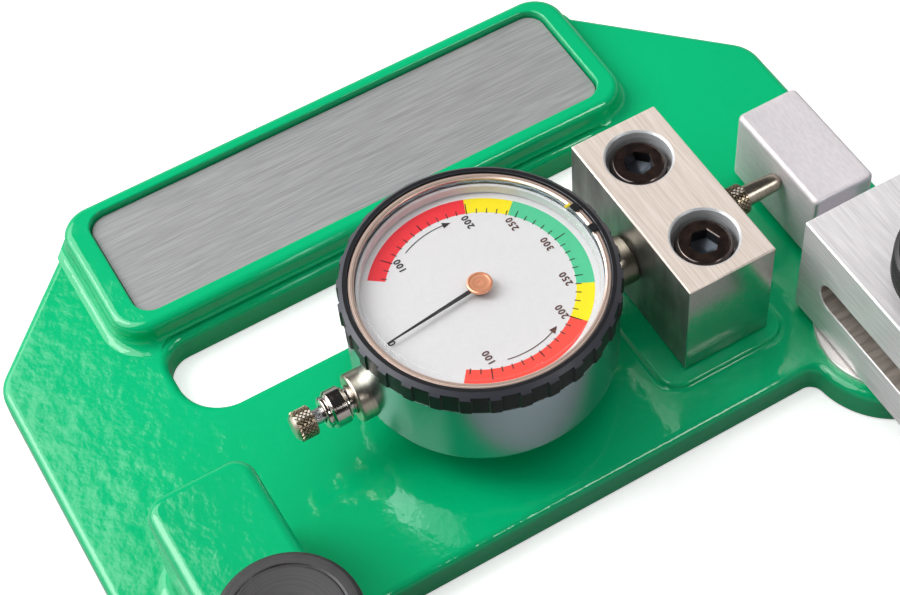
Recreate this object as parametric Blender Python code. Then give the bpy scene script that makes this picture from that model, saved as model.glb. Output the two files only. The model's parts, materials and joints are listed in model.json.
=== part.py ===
"""Blade tension gauge.

A cast frame lies flat on its underside. A dial indicator is held by its stem in a block on the
frame. A lever turns on a lobe of the frame: its arm pushes the indicator's plunger, and its jaw
block clamps one end of the blade. A post of the frame clamps the other end.

Metres, +Z up. The origin is on the dial's axis, in the plane of the frame's underside.
"""

import math

import bmesh
import bpy
from mathutils import Matrix, Vector

# Fits shared by all pieces
seat_gap = 0.0003
turning_gap = 0.0002
cut_overrun = 0.002

# Facets of round pieces
large_round_steps = 48
middle_round_steps = 32
small_round_steps = 20
tiny_round_steps = 12
corner_steps = 4
case_corner_steps = 2

# Frame: the plate and its plan, measured from the dial's axis
plate_thickness = 0.0075
plate_left_reach = 0.0895
plate_right_reach = 0.0978
plate_back_reach = 0.0823
plate_front_reach = 0.0345
plate_left_chamfer = 0.0303
plate_right_chamfer = 0.0365
plate_corner_radius = 0.009
plate_edge_round = 0.0016

# Frame: the long grip slot
grip_slot_length = 0.1144
grip_slot_width = 0.02
grip_slot_middle_x = 0.0008
grip_slot_middle_y = 0.032
grip_slot_front_corner = 0.0099
grip_slot_back_corner = 0.006

# Frame: the raised boss with its recess, and the plate let into it
boss_left_reach = 0.0625
boss_right_reach = 0.0643
boss_front_y = 0.044
boss_back_y = 0.0819
boss_rise = 0.006
boss_corner_radius = 0.0075
boss_edge_round = 0.0016
boss_rim_left = 0.0059
boss_rim_right = 0.005
boss_rim_front = 0.004
boss_rim_back = 0.0035
recess_corner_radius = 0.0045
nameplate_thickness = 0.001
nameplate_below_rim = 0.0017

# Frame: machined pad under the block, and the pivot lobe
machined_rise = 0.0013
pad_left_margin = 0.0058
pad_right_margin = 0.0036
pad_front_margin = 0.003
pad_corner_radius = 0.005
pad_edge_round = 0.0005
pivot_x = 0.0775
pivot_y = -0.0347
lobe_radius = 0.0187
lobe_face_radius = 0.0161

# Blade clamps, alike on the frame's post and on the lever's jaw
clamp_y = -0.0487
clamp_front_reach = 0.0138
clamp_top = 0.0368
blade_floor = 0.0187
blade_slot_height = 0.0068
blade_slot_end_y = -0.0272
blade_slot_round_share = 0.999
left_clamp_x = -0.0662
right_clamp_x = 0.0789
post_left_reach = 0.0118
post_right_reach = 0.0104
post_back_y = -0.0071
post_corner_radius = 0.0045
post_edge_round = 0.0024
post_foot_margin = 0.006
post_foot_taper = 0.0105

# Clamp screws: spindle, swivelling pressure pad and knob
spindle_radius = 0.0039
spindle_neck_radius = 0.0018
knob_radius = 0.0136
knob_height = 0.0076
knob_edge = 0.0006
knob_cover = 0.002
clamp_travel = 0.0033
clamp_slack = 0.0003
pressure_pad_radius = 0.0055
pressure_pad_height = 0.0019
pressure_pad_socket_depth = 0.001

# Clamp block that holds the indicator's stem
block_middle_x = 0.0448
block_width = 0.0204
block_length = 0.044
block_height = 0.0273
block_edge = 0.0003
block_screw_offset = 0.012
cap_screw_radius = 0.003
cap_head_radius = 0.006
cap_head_height = 0.006
cap_head_edge = 0.0006
cap_head_sunk = 0.0015
cap_screw_length = 0.025
counterbore_radius = 0.007
hexagon_across_flats = 0.0054
hexagon_depth = 0.003
lock_screw_radius = 0.0025
lock_screw_access_radius = 0.0032

# Indicator: axis, case and back
stem_height = 0.0231
axis_to_back = 0.0053
axis_to_dial = 0.0148
case_radius = 0.0275
case_height = 0.0183
case_edge_round = 0.0019
case_wall = 0.0019
case_spigot_wall = 0.001
case_spigot_height = 0.0039
movement_shelf_width = 0.001
movement_shelf_height = 0.0098
back_recess_depth = 0.0015
back_rim_width = 0.0027
back_flange_width = 0.0036
back_flange_thickness = 0.0008
back_thickness = 0.0012
back_screw_count = 4
back_screw_inset = 0.0022
back_screw_radius = 0.0008
back_screw_head_radius = 0.0015
back_screw_head_height = 0.0007

# Indicator: stem, rear boss, guide, plunger and its ends
stem_radius = 0.004
stem_boss_radius = 0.00525
stem_spigot_radius = 0.0042
stem_spigot_length = 0.0029
stem_end_x = 0.0575
rear_boss_length = 0.0027
guide_neck_radius = 0.0029
guide_neck_length = 0.0013
guide_spigot_length = 0.0016
guide_barrel_radius = 0.004
guide_barrel_length = 0.0052
guide_edge = 0.0008
plunger_radius = 0.002
plunger_rear_radius = 0.0016
plunger_collar_x = -0.0029
plunger_collar_radius = 0.0027
plunger_collar_length = 0.001
plunger_travel = 0.002
tip_collar_radius = 0.0034
tip_collar_length = 0.0032
tip_stud_radius = 0.0012
tip_stud_length = 0.0027
tip_shank_radius = 0.0024
tip_taper_radius = 0.002
tip_end_radius = 0.0014
tip_end_length = 0.0008
lift_cap_radius = 0.0032
lift_cap_length = 0.0045
lift_cap_rest_gap = 0.0021
lift_cap_wall = 0.001
return_spring_mean_radius = 0.00235
return_spring_wire_radius = 0.00025
return_spring_turns = 8
spring_points_per_turn = 7

# Movement: rack, wheels, plates and hairspring
rack_pitch = 0.000625
rack_line_y = -0.0016
rack_half_length = 0.006
rack_pinion_teeth = 16
rack_pinion_height = 0.0024
wheel_module = 0.0002
wheel_teeth = 100
centre_pinion_teeth = 10
tooth_addendum = 0.00013
tooth_dedendum = 0.0002
base_plate_thickness = 0.001
wheel_lift = 0.0006
wheel_thickness = 0.0008
bridge_lift = 0.0043
bridge_thickness = 0.001
bridge_radius = 0.015
pillar_radius = 0.0012
pillar_circle_radius = 0.0133
pillar_angles_deg = (40, 90, 220, 270)
arbor_radius = 0.0006
centre_arbor_radius = 0.0005
hairspring_turns = 3
hairspring_points_per_turn = 12
hairspring_outer_radius = 0.0045
hairspring_strip_width = 0.0008
hairspring_strip_thickness = 0.00015

# Dial side: carrier, face, pointer, crystal and bezel
carrier_wall = 0.0006
carrier_lip_width = 0.0011
carrier_lip_thickness = 0.0005
carrier_flange_thickness = 0.0009
dial_thickness = 0.0004
dial_hole_radius = 0.0016
spacer_height = 0.0021
spacer_wall = 0.0006
pointer_length = 0.0222
pointer_tip_width = 0.0003
pointer_root_width = 0.0012
pointer_disc_radius = 0.0019
pointer_thickness = 0.0003
pointer_lift = 0.0011
pointer_rest_angle_deg = 186
hub_radius = 0.0026
hub_height = 0.0006
crystal_flange_thickness = 0.0006
crystal_rise = 0.0012
crystal_shoulder_width = 0.0009
crystal_ring_width = 0.0012
crystal_ring_height = 0.0005
marker_angles_deg = (10.3, -5.2)
marker_width = 0.0022
marker_height = 0.0004
bezel_overhang = 0.0006
bezel_lip_overlap = 0.0007
bezel_height = 0.006
bezel_chamfer = 0.0013
bezel_chamfer_width = 0.0012
bezel_lip_thickness = 0.0009
bezel_notch_count = 30
bezel_notch_depth = 0.0004
bezel_notch_share = 0.64
bezel_notch_slope_share = 0.08

# Lever: jaw block and arm
jaw_width = 0.031
jaw_back_y = -0.02
jaw_edge = 0.0003
arm_left_x = 0.0723
arm_width = 0.0149
arm_back_y = 0.016
arm_front_y = -0.0126
arm_height = 0.019
arm_corner_radius = 0.0014
arm_edge_round = 0.0008
tongue_height = 0.0082
tongue_front_y = -0.029
arm_screw_spacing = 0.0075
arm_screw_y = -0.0243
arm_screw_radius = 0.0015
arm_screw_head_radius = 0.00275
arm_screw_head_height = 0.003
arm_screw_reach = 0.0105
pin_radius = 0.004
pin_reach_in_jaw = 0.0076
bush_wall = 0.0017
washer_radius = 0.008
washer_thickness = 0.001
pivot_screw_radius = 0.002
pivot_screw_head_radius = 0.0034
pivot_screw_head_height = 0.0009
pivot_screw_sunk = 0.0004
pivot_screw_length = 0.0056

# Heights worked out from the sizes above
machined_top = plate_thickness + machined_rise
lever_bottom = machined_top + seat_gap
case_bottom = stem_height - axis_to_back
case_top = case_bottom + case_height
spigot_top = case_top + case_spigot_height
movement_shelf_top = case_bottom + movement_shelf_height
base_plate_bottom = movement_shelf_top + seat_gap
base_plate_top = base_plate_bottom + base_plate_thickness
wheel_bottom = base_plate_top + wheel_lift
bridge_bottom = base_plate_top + bridge_lift
bridge_top = bridge_bottom + bridge_thickness
bezel_bottom = case_top + seat_gap
bezel_top = bezel_bottom + bezel_height
carrier_flange_bottom = spigot_top + seat_gap
carrier_top = carrier_flange_bottom + carrier_flange_thickness
dial_top = stem_height + axis_to_dial
dial_bottom = dial_top - dial_thickness
carrier_bottom = dial_bottom - seat_gap - carrier_lip_thickness
spacer_bottom = dial_top + seat_gap
crystal_bottom = spacer_bottom + spacer_height + seat_gap
crystal_flange_top = crystal_bottom + crystal_flange_thickness
crystal_ring_bottom = crystal_flange_top + seat_gap
pointer_bottom = dial_top + pointer_lift
hub_bottom = pointer_bottom + pointer_thickness + seat_gap

# Radii and places that follow from their neighbours
case_bore_radius = case_radius - case_wall
case_spigot_radius = case_bore_radius + case_spigot_wall
bezel_radius = case_radius + bezel_overhang
bezel_inner_radius = case_spigot_radius - bezel_lip_overlap
carrier_outer_radius = case_bore_radius - seat_gap
carrier_bore_radius = carrier_outer_radius - carrier_wall
dial_radius = carrier_bore_radius - seat_gap
bezel_skirt_radius = case_spigot_radius + seat_gap
block_left_x = block_middle_x - block_width / 2
block_right_x = block_middle_x + block_width / 2
arm_right_x = arm_left_x + arm_width
tip_end_x = arm_left_x - seat_gap
tip_collar_x = stem_end_x + plunger_travel + 2 * seat_gap
rack_pinion_radius = rack_pitch * rack_pinion_teeth / (2 * math.pi)
rack_pinion_y = rack_line_y - rack_pinion_radius
wheel_radius = wheel_module * wheel_teeth / 2
centre_pinion_radius = wheel_module * centre_pinion_teeth / 2
wheel_distance = wheel_radius + centre_pinion_radius
rack_pinion_x = math.sqrt(wheel_distance ** 2 - rack_pinion_y ** 2)
back_recess_radius = case_radius - back_rim_width
back_screw_circle_radius = back_recess_radius - back_screw_inset
boss_end_x = case_radius + seat_gap
stem_spigot_reach = boss_end_x - stem_spigot_length
rear_boss_end_x = -(boss_end_x + rear_boss_length)
guide_barrel_x = rear_boss_end_x - guide_neck_length
guide_end_x = guide_barrel_x - guide_barrel_length
lift_cap_x = guide_end_x - lift_cap_rest_gap
knob_bottom = clamp_top + clamp_travel + clamp_slack
knob_top = knob_bottom + knob_height
slot_ceiling = blade_floor + blade_slot_height


def clear_scene():
    """Remove every object and the data that only they used."""
    for item in list(bpy.data.objects):
        bpy.data.objects.remove(item, do_unlink=True)
    for mesh in list(bpy.data.meshes):
        bpy.data.meshes.remove(mesh)
    for material in list(bpy.data.materials):
        bpy.data.materials.remove(material)


def make_finish(name, colour, roughness, metallic):
    """A plain surface finish."""
    material = bpy.data.materials.new(name)
    material.use_nodes = True
    shader = material.node_tree.nodes["Principled BSDF"]
    shader.inputs["Base Color"].default_value = (*colour, 1.0)
    shader.inputs["Roughness"].default_value = roughness
    shader.inputs["Metallic"].default_value = metallic
    material.diffuse_color = (*colour, 1.0)
    return material


def make_axis(name, place):
    """An empty on a joint's axis, the parent of the pieces that move with it."""
    axis = bpy.data.objects.new(name, None)
    axis.location = place
    bpy.context.scene.collection.objects.link(axis)
    return axis


def add_object(name, build, material, place=(0, 0, 0), parent=None, along_x=False):
    """Turn a bmesh into a named object at a place in the world, facing +Z or +X."""
    bmesh.ops.recalc_face_normals(build, faces=build.faces)
    mesh = bpy.data.meshes.new(name)
    build.to_mesh(mesh)
    build.free()
    item = bpy.data.objects.new(name, mesh)
    bpy.context.scene.collection.objects.link(item)
    item.location = place
    if along_x:
        item.rotation_euler = (0, math.pi / 2, 0)
    if parent is not None:
        item.parent = parent
        item.location = Vector(place) - parent.location
    if material is not None:
        mesh.materials.append(material)
    return item


def smooth_rounds(item):
    """Shade round walls smooth and keep the corners sharp."""
    item.data.shade_smooth()
    item.data.set_sharp_from_angle(angle=math.radians(30))


def combine(item, tool, operation):
    """Join a tool to an object, or cut it out of it, and remove the tool."""
    bpy.context.view_layer.update()
    step = item.modifiers.new("combine", "BOOLEAN")
    step.operation = operation
    step.solver = "EXACT"
    step.object = tool
    bpy.context.view_layer.update()
    graph = bpy.context.evaluated_depsgraph_get()
    result = bpy.data.meshes.new_from_object(item.evaluated_get(graph))
    item.modifiers.remove(step)
    old_mesh = item.data
    name = old_mesh.name
    item.data = result
    bpy.data.meshes.remove(old_mesh)
    result.name = name
    bpy.data.objects.remove(tool, do_unlink=True)


def rounded_outline(corners):
    """A closed outline from (x, y, radius) corners, with each corner an arc of its radius."""
    points = []
    count = len(corners)
    for index, (x, y, radius) in enumerate(corners):
        corner = Vector((x, y))
        if radius <= 0:
            points.append((x, y))
            continue
        before = Vector(corners[index - 1][:2]) - corner
        after = Vector(corners[(index + 1) % count][:2]) - corner
        before.normalize()
        after.normalize()
        half = before.angle(after) / 2
        centre = corner + (before + after).normalized() * (radius / math.sin(half))
        start = corner + before * (radius / math.tan(half)) - centre
        end = corner + after * (radius / math.tan(half)) - centre
        turn = math.atan2(start.x * end.y - start.y * end.x, start.dot(end))
        for step in range(corner_steps + 1):
            spoke = Matrix.Rotation(turn * step / corner_steps, 2) @ start
            points.append(tuple(centre + spoke))
    return points


def rectangle(left, right, front, back, radius=0):
    """A rectangle's outline with all its corners rounded alike."""
    corners = [(right, front), (right, back), (left, back), (left, front)]
    return rounded_outline([(x, y, radius) for x, y in corners])


def circle(radius, steps, centre=(0, 0)):
    """A circle's outline."""
    angles = [2 * math.pi * step / steps for step in range(steps)]
    return [(centre[0] + radius * math.cos(a), centre[1] + radius * math.sin(a)) for a in angles]


def slab(outline, low, high, top_round=0, bottom_round=0, round_steps=2):
    """A straight-sided body over an outline, with its top and bottom edges rounded if asked."""
    build = bmesh.new()
    base = build.faces.new([build.verts.new((x, y, low)) for x, y in outline])
    top = bmesh.ops.extrude_face_region(build, geom=[base])["geom"]
    lifted = [part for part in top if isinstance(part, bmesh.types.BMVert)]
    bmesh.ops.translate(build, verts=lifted, vec=(0, 0, high - low))
    for height, size in ((high, top_round), (low, bottom_round)):
        if size > 0:
            near = [e for e in build.edges if all(abs(v.co.z - height) < size / 10 for v in e.verts)]
            bmesh.ops.bevel(build, geom=near, offset=size, segments=round_steps, profile=0.5,
                            affect="EDGES")
    return build


def turned(profile, steps):
    """A body turned about Z from a closed profile of (radius, height) points."""
    build = bmesh.new()
    rings = []
    for radius, height in profile:
        if radius <= 0:
            rings.append([build.verts.new((0, 0, height))])
            continue
        spots = circle(radius, steps)
        rings.append([build.verts.new((x, y, height)) for x, y in spots])
    for index, ring in enumerate(rings):
        upper = rings[(index + 1) % len(rings)]
        if len(ring) == 1 and len(upper) == 1:
            continue
        for step in range(steps):
            following = (step + 1) % steps
            if len(ring) == 1:
                build.faces.new((ring[0], upper[following], upper[step]))
            elif len(upper) == 1:
                build.faces.new((ring[step], ring[following], upper[0]))
            else:
                build.faces.new((ring[step], ring[following], upper[following], upper[step]))
    return build


def merge_builds(builds):
    """Put several separate bodies into one bmesh."""
    whole = bmesh.new()
    for build in builds:
        mesh = bpy.data.meshes.new("body")
        build.to_mesh(mesh)
        build.free()
        whole.from_mesh(mesh)
        bpy.data.meshes.remove(mesh)
    return whole


def moved(build, x, y, z=0):
    """Shift a bmesh."""
    bmesh.ops.translate(build, verts=build.verts, vec=(x, y, z))
    return build


def drill(item, places, radius, low, high, steps=middle_round_steps):
    """Cut upright round holes of one size through an object."""
    holes = [slab(circle(radius, steps, place), low, high) for place in places]
    combine(item, add_object("drill", merge_builds(holes), None), "DIFFERENCE")


def bore_along_x(item, radius, low_x, high_x, steps=middle_round_steps):
    """Cut a round hole along the indicator's stem axis."""
    hole = slab(circle(radius, steps), low_x, high_x)
    combine(item, add_object("bore", hole, None, (0, 0, stem_height), along_x=True), "DIFFERENCE")


def cut_box(item, low, high):
    """Cut a plain box out of an object."""
    outline = rectangle(low[0], high[0], low[1], high[1])
    combine(item, add_object("cut", slab(outline, low[2], high[2]), None), "DIFFERENCE")


def cut_blade_slot(item, left_x, right_x, front_y):
    """Cut the round-ended slot that the blade's edge goes into, open at the front and both sides."""
    rounding = blade_slot_height / 2 * blade_slot_round_share
    corners = [(front_y, blade_floor, 0), (blade_slot_end_y, blade_floor, rounding),
               (blade_slot_end_y, slot_ceiling, rounding), (front_y, slot_ceiling, 0)]
    build = bmesh.new()
    outline = rounded_outline(corners)
    base = build.faces.new([build.verts.new((left_x, y, z)) for y, z in outline])
    pushed = bmesh.ops.extrude_face_region(build, geom=[base])["geom"]
    verts = [part for part in pushed if isinstance(part, bmesh.types.BMVert)]
    bmesh.ops.translate(build, verts=verts, vec=(right_x - left_x, 0, 0))
    combine(item, add_object("blade_cut", build, None), "DIFFERENCE")


def frame_plan():
    """The plate's outline, with the foot of the clamp post at the front left."""
    post_left = left_clamp_x - post_left_reach - post_foot_margin
    post_right = left_clamp_x + post_right_reach + post_foot_margin
    front = clamp_y - clamp_front_reach
    left = -plate_left_reach
    right = plate_right_reach
    radius = plate_corner_radius
    return rounded_outline([
        (right, -plate_front_reach, radius),
        (right, plate_back_reach - plate_right_chamfer, radius),
        (right - plate_right_chamfer, plate_back_reach, radius),
        (left + plate_left_chamfer, plate_back_reach, radius),
        (left, plate_back_reach - plate_left_chamfer, radius),
        (left, -plate_front_reach + post_foot_taper, radius),
        (post_left, -plate_front_reach, radius),
        (post_left, front, post_foot_margin),
        (post_right, front, post_foot_margin),
        (post_right, -plate_front_reach, radius),
    ])


def make_frame(green):
    """The casting: plate, boss, block pad, clamp post and pivot lobe in one piece."""
    frame = add_object("frame_casting", slab(frame_plan(), 0, plate_thickness, plate_edge_round),
                       green)
    sunk = plate_thickness / 2
    boss = slab(rectangle(-boss_left_reach, boss_right_reach, boss_front_y, boss_back_y,
                          boss_corner_radius), sunk, plate_thickness + boss_rise, boss_edge_round)
    pad = slab(rectangle(block_left_x - pad_left_margin, block_right_x + pad_right_margin,
                         -block_length / 2 - pad_front_margin, block_length / 2,
                         pad_corner_radius),
               sunk, machined_top, pad_edge_round, round_steps=1)
    post = slab(rectangle(left_clamp_x - post_left_reach, left_clamp_x + post_right_reach,
                          clamp_y - clamp_front_reach, post_back_y, post_corner_radius),
                sunk, clamp_top, post_edge_round)
    lobe = slab(circle(lobe_radius, middle_round_steps, (pivot_x, pivot_y)), 0, plate_thickness,
                plate_edge_round)
    lobe_face = slab(circle(lobe_face_radius, middle_round_steps, (pivot_x, pivot_y)), sunk,
                     machined_top, pad_edge_round, round_steps=1)
    for shape in (boss, pad, post, lobe, lobe_face):
        combine(frame, add_object("shape", shape, None), "UNION")

    combine(frame, add_object("slot", slab(grip_slot_plan(), -cut_overrun, machined_top
                                           + cut_overrun), None), "DIFFERENCE")
    recess = recess_outline(0)
    floor = plate_thickness + boss_rise - nameplate_below_rim - nameplate_thickness - seat_gap
    combine(frame, add_object("recess", slab(recess, floor, plate_thickness + boss_rise
                                             + cut_overrun), None), "DIFFERENCE")
    cut_blade_slot(frame, left_clamp_x - post_left_reach - cut_overrun,
                   left_clamp_x + post_right_reach + cut_overrun,
                   clamp_y - clamp_front_reach - cut_overrun)
    drill(frame, [(left_clamp_x, clamp_y)], spindle_radius + seat_gap,
          slot_ceiling - blade_slot_height / 2, clamp_top + cut_overrun, small_round_steps)
    screw_places = [(block_middle_x, block_screw_offset), (block_middle_x, -block_screw_offset)]
    drill(frame, screw_places, cap_screw_radius + seat_gap, -cut_overrun,
          machined_top + cut_overrun, small_round_steps)
    drill(frame, [(block_middle_x, 0)], lock_screw_access_radius, -cut_overrun,
          machined_top + cut_overrun, tiny_round_steps)
    drill(frame, [(pivot_x, pivot_y)], pin_radius + turning_gap + bush_wall + seat_gap,
          -cut_overrun, machined_top + cut_overrun, small_round_steps)
    drill(frame, [(pivot_x, pivot_y)], washer_radius + seat_gap, -cut_overrun,
          washer_seat_height(), small_round_steps)
    smooth_rounds(frame)


def grip_slot_plan():
    """The grip slot's outline, rounder at its front corners than at its back ones."""
    left = grip_slot_middle_x - grip_slot_length / 2
    right = grip_slot_middle_x + grip_slot_length / 2
    front = grip_slot_middle_y - grip_slot_width / 2
    back = grip_slot_middle_y + grip_slot_width / 2
    return rounded_outline([(right, front, grip_slot_front_corner),
                            (right, back, grip_slot_back_corner),
                            (left, back, grip_slot_back_corner),
                            (left, front, grip_slot_front_corner)])


def washer_seat_height():
    """How deep the washer's counterbore goes into the lobe's underside."""
    return pivot_screw_sunk + pivot_screw_head_height + washer_thickness + 2 * turning_gap


def recess_outline(inset):
    """The plan of the recess in the boss, or of what fits in it with a gap all round."""
    return rectangle(-boss_left_reach + boss_rim_left + inset, boss_right_reach - boss_rim_right
                     - inset, boss_front_y + boss_rim_front + inset,
                     boss_back_y - boss_rim_back - inset, recess_corner_radius - inset)


def make_nameplate(brushed):
    """The plain plate let into the boss."""
    top = plate_thickness + boss_rise - nameplate_below_rim
    add_object("nameplate", slab(recess_outline(seat_gap), top - nameplate_thickness, top), brushed)


def make_block(aluminium):
    """The block that stands on the pad and holds the indicator's stem."""
    outline = rectangle(block_left_x, block_right_x, -block_length / 2, block_length / 2)
    bottom = machined_top + seat_gap
    top = bottom + block_height
    block = add_object("clamp_block", slab(outline, bottom, top, block_edge, round_steps=1),
                       aluminium)
    bore_along_x(block, stem_radius + seat_gap, block_left_x - cut_overrun,
                 block_right_x + cut_overrun)
    screw_places = [(block_middle_x, block_screw_offset), (block_middle_x, -block_screw_offset)]
    drill(block, screw_places, cap_screw_radius + seat_gap, bottom - cut_overrun,
          top + cut_overrun, small_round_steps)
    drill(block, screw_places, counterbore_radius, top - cap_head_sunk - cap_head_height
          - seat_gap, top + cut_overrun)
    drill(block, [(block_middle_x, 0)], lock_screw_radius + seat_gap, bottom - cut_overrun,
          stem_height, tiny_round_steps)
    smooth_rounds(block)
    return top


def make_block_screws(black_steel, block_top):
    """Two hexagon-socket cap screws that hold the block to the frame."""
    head_top = block_top - cap_head_sunk
    head_bottom = head_top - cap_head_height
    end = head_bottom - cap_screw_length
    profile = [(0, end), (cap_screw_radius, end), (cap_screw_radius, head_bottom),
               (cap_head_radius, head_bottom), (cap_head_radius, head_top - cap_head_edge),
               (cap_head_radius - cap_head_edge, head_top), (0, head_top)]
    socket = circle(hexagon_across_flats / 2 / math.cos(math.pi / 6), 6)
    for side, y in (("back", block_screw_offset), ("front", -block_screw_offset)):
        place = (block_middle_x, y, 0)
        screw = add_object("block_screw_" + side, turned(profile, small_round_steps), black_steel,
                           place)
        combine(screw, add_object("socket", slab(socket, head_top - hexagon_depth,
                                                 head_top + cut_overrun), None, place),
                "DIFFERENCE")
        smooth_rounds(screw)


def make_lock_screw(steel):
    """The grub screw that holds the stem from below."""
    low = machined_top + 2 * seat_gap
    high = stem_height - stem_radius - seat_gap
    outline = circle(lock_screw_radius, tiny_round_steps)
    add_object("stem_lock_screw", slab(outline, low, high), steel, (block_middle_x, 0, 0))


def make_case(silver):
    """The indicator's case: an open ring with a shelf for the movement and a flange for the back."""
    shelf_radius = case_bore_radius - movement_shelf_width
    flange_radius = back_recess_radius - back_flange_width
    flange_bottom = case_bottom + back_recess_depth
    flange_top = flange_bottom + back_flange_thickness
    rounding = []
    for step in range(case_corner_steps + 1):
        angle = math.pi / 2 * step / case_corner_steps
        rounding.append((case_radius - case_edge_round + case_edge_round * math.sin(angle),
                         case_bottom + case_edge_round - case_edge_round * math.cos(angle)))
    profile = rounding + [
        (case_radius, case_top), (case_spigot_radius, case_top),
        (case_spigot_radius, spigot_top), (case_bore_radius, spigot_top),
        (case_bore_radius, movement_shelf_top), (shelf_radius, movement_shelf_top),
        (shelf_radius, flange_top), (flange_radius, flange_top), (flange_radius, flange_bottom),
        (back_recess_radius, flange_bottom), (back_recess_radius, case_bottom)]
    case = add_object("gauge_case", turned(profile, large_round_steps), silver)
    hole_radius = stem_spigot_radius + turning_gap
    hole_start = flange_radius - cut_overrun
    bore_along_x(case, hole_radius, hole_start, case_radius + cut_overrun)
    bore_along_x(case, hole_radius, -case_radius - cut_overrun, -hole_start)
    drill(case, back_screw_places(), back_screw_radius + seat_gap, flange_bottom - cut_overrun / 2,
          flange_top + cut_overrun / 4, tiny_round_steps)
    smooth_rounds(case)


def back_screw_places():
    """The back cover's screws, evenly round and clear of the stem."""
    places = []
    for index in range(back_screw_count):
        angle = 2 * math.pi * (index + 0.5) / back_screw_count
        places.append((back_screw_circle_radius * math.cos(angle),
                       back_screw_circle_radius * math.sin(angle)))
    return places


def make_back(silver, steel):
    """The back cover and its screws."""
    top = case_bottom + back_thickness
    radius = back_recess_radius - seat_gap
    back = add_object("gauge_back", slab(circle(radius, middle_round_steps), case_bottom, top),
                      silver)
    places = back_screw_places()
    drill(back, places, back_screw_radius + seat_gap, case_bottom - cut_overrun,
          top + cut_overrun, tiny_round_steps)
    head_space = back_screw_head_height
    drill(back, places, back_screw_head_radius + seat_gap, case_bottom - cut_overrun,
          case_bottom + head_space, tiny_round_steps)
    end = case_bottom + back_recess_depth + back_flange_thickness
    head_top = case_bottom + head_space - seat_gap / 2
    profile = [(0, case_bottom), (back_screw_head_radius, case_bottom),
               (back_screw_head_radius, head_top), (back_screw_radius, head_top),
               (back_screw_radius, end), (0, end)]
    for number, (x, y) in enumerate(places, 1):
        add_object(f"back_screw_{number}", turned(profile, tiny_round_steps), steel, (x, y, 0))


def make_stem(nickel):
    """The stem with its boss, one turned piece fixed in the case's wall."""
    bore = plunger_radius + seat_gap
    boss_end = block_left_x - seat_gap
    profile = [(stem_spigot_radius, stem_spigot_reach), (stem_spigot_radius, boss_end_x),
               (stem_boss_radius, boss_end_x), (stem_boss_radius, boss_end),
               (stem_radius, boss_end), (stem_radius, stem_end_x), (bore, stem_end_x),
               (bore, stem_spigot_reach)]
    stem = add_object("stem", turned(profile, small_round_steps), nickel, (0, 0, stem_height),
                      along_x=True)
    smooth_rounds(stem)


def make_rear_bush(nickel, chrome):
    """The boss at the case's rear and the chrome guide screwed into it."""
    rod_bore = plunger_rear_radius + seat_gap
    seat = guide_neck_radius + turning_gap
    seat_end = rear_boss_end_x + guide_spigot_length + seat_gap
    profile = [(stem_spigot_radius, -stem_spigot_reach), (stem_spigot_radius, -boss_end_x),
               (stem_boss_radius, -boss_end_x), (stem_boss_radius, rear_boss_end_x),
               (seat, rear_boss_end_x), (seat, seat_end), (rod_bore, seat_end),
               (rod_bore, -stem_spigot_reach)]
    bush = add_object("rear_bush", turned(profile, small_round_steps), nickel,
                      (0, 0, stem_height), along_x=True)
    smooth_rounds(bush)
    profile = [(guide_neck_radius, rear_boss_end_x + guide_spigot_length),
               (guide_neck_radius, guide_barrel_x), (guide_barrel_radius - guide_edge,
                                                     guide_barrel_x),
               (guide_barrel_radius, guide_barrel_x - guide_edge),
               (guide_barrel_radius, guide_end_x + guide_edge),
               (guide_barrel_radius - guide_edge, guide_end_x), (rod_bore, guide_end_x),
               (rod_bore, rear_boss_end_x + guide_spigot_length)]
    guide = add_object("rear_guide", turned(profile, small_round_steps), chrome,
                       (0, 0, stem_height), along_x=True)
    smooth_rounds(guide)


def make_plunger(steel, nickel, axis):
    """The plunger with its rack, the contact tip and the lift cap."""
    rod_end_x = tip_collar_x - seat_gap
    collar_end = plunger_collar_x - plunger_collar_length
    cap_inside_x = lift_cap_x - lift_cap_length + lift_cap_wall
    hole = tip_stud_radius + turning_gap
    hole_end = tip_collar_x - tip_stud_length - seat_gap
    profile = [(0, cap_inside_x + seat_gap), (plunger_rear_radius, cap_inside_x + seat_gap),
               (plunger_rear_radius, collar_end), (plunger_collar_radius, collar_end),
               (plunger_collar_radius, plunger_collar_x), (plunger_radius, plunger_collar_x),
               (plunger_radius, rod_end_x), (hole, rod_end_x), (hole, hole_end), (0, hole_end)]
    plunger = add_object("plunger", turned(profile, small_round_steps), steel,
                         (0, 0, stem_height), axis, along_x=True)
    combine(plunger, add_object("rack_cut", rack_cutter(), None), "DIFFERENCE")
    smooth_rounds(plunger)

    profile = [(0, tip_collar_x - tip_stud_length), (tip_stud_radius, tip_collar_x
                                                     - tip_stud_length),
               (tip_stud_radius, tip_collar_x), (tip_collar_radius, tip_collar_x),
               (tip_collar_radius, tip_collar_x + tip_collar_length),
               (tip_shank_radius, tip_collar_x + tip_collar_length),
               (tip_taper_radius, tip_end_x - tip_end_length),
               (tip_end_radius, tip_end_x), (0, tip_end_x)]
    tip = add_object("contact_tip", turned(profile, small_round_steps), nickel,
                     (0, 0, stem_height), axis, along_x=True)
    smooth_rounds(tip)

    cap_end = lift_cap_x - lift_cap_length
    bore = plunger_rear_radius + turning_gap
    profile = [(0, cap_end), (lift_cap_radius, cap_end), (lift_cap_radius, lift_cap_x),
               (bore, lift_cap_x), (bore, cap_inside_x), (0, cap_inside_x)]
    cap = add_object("lift_cap", turned(profile, small_round_steps), nickel,
                     (0, 0, stem_height), axis, along_x=True)
    smooth_rounds(cap)


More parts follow.
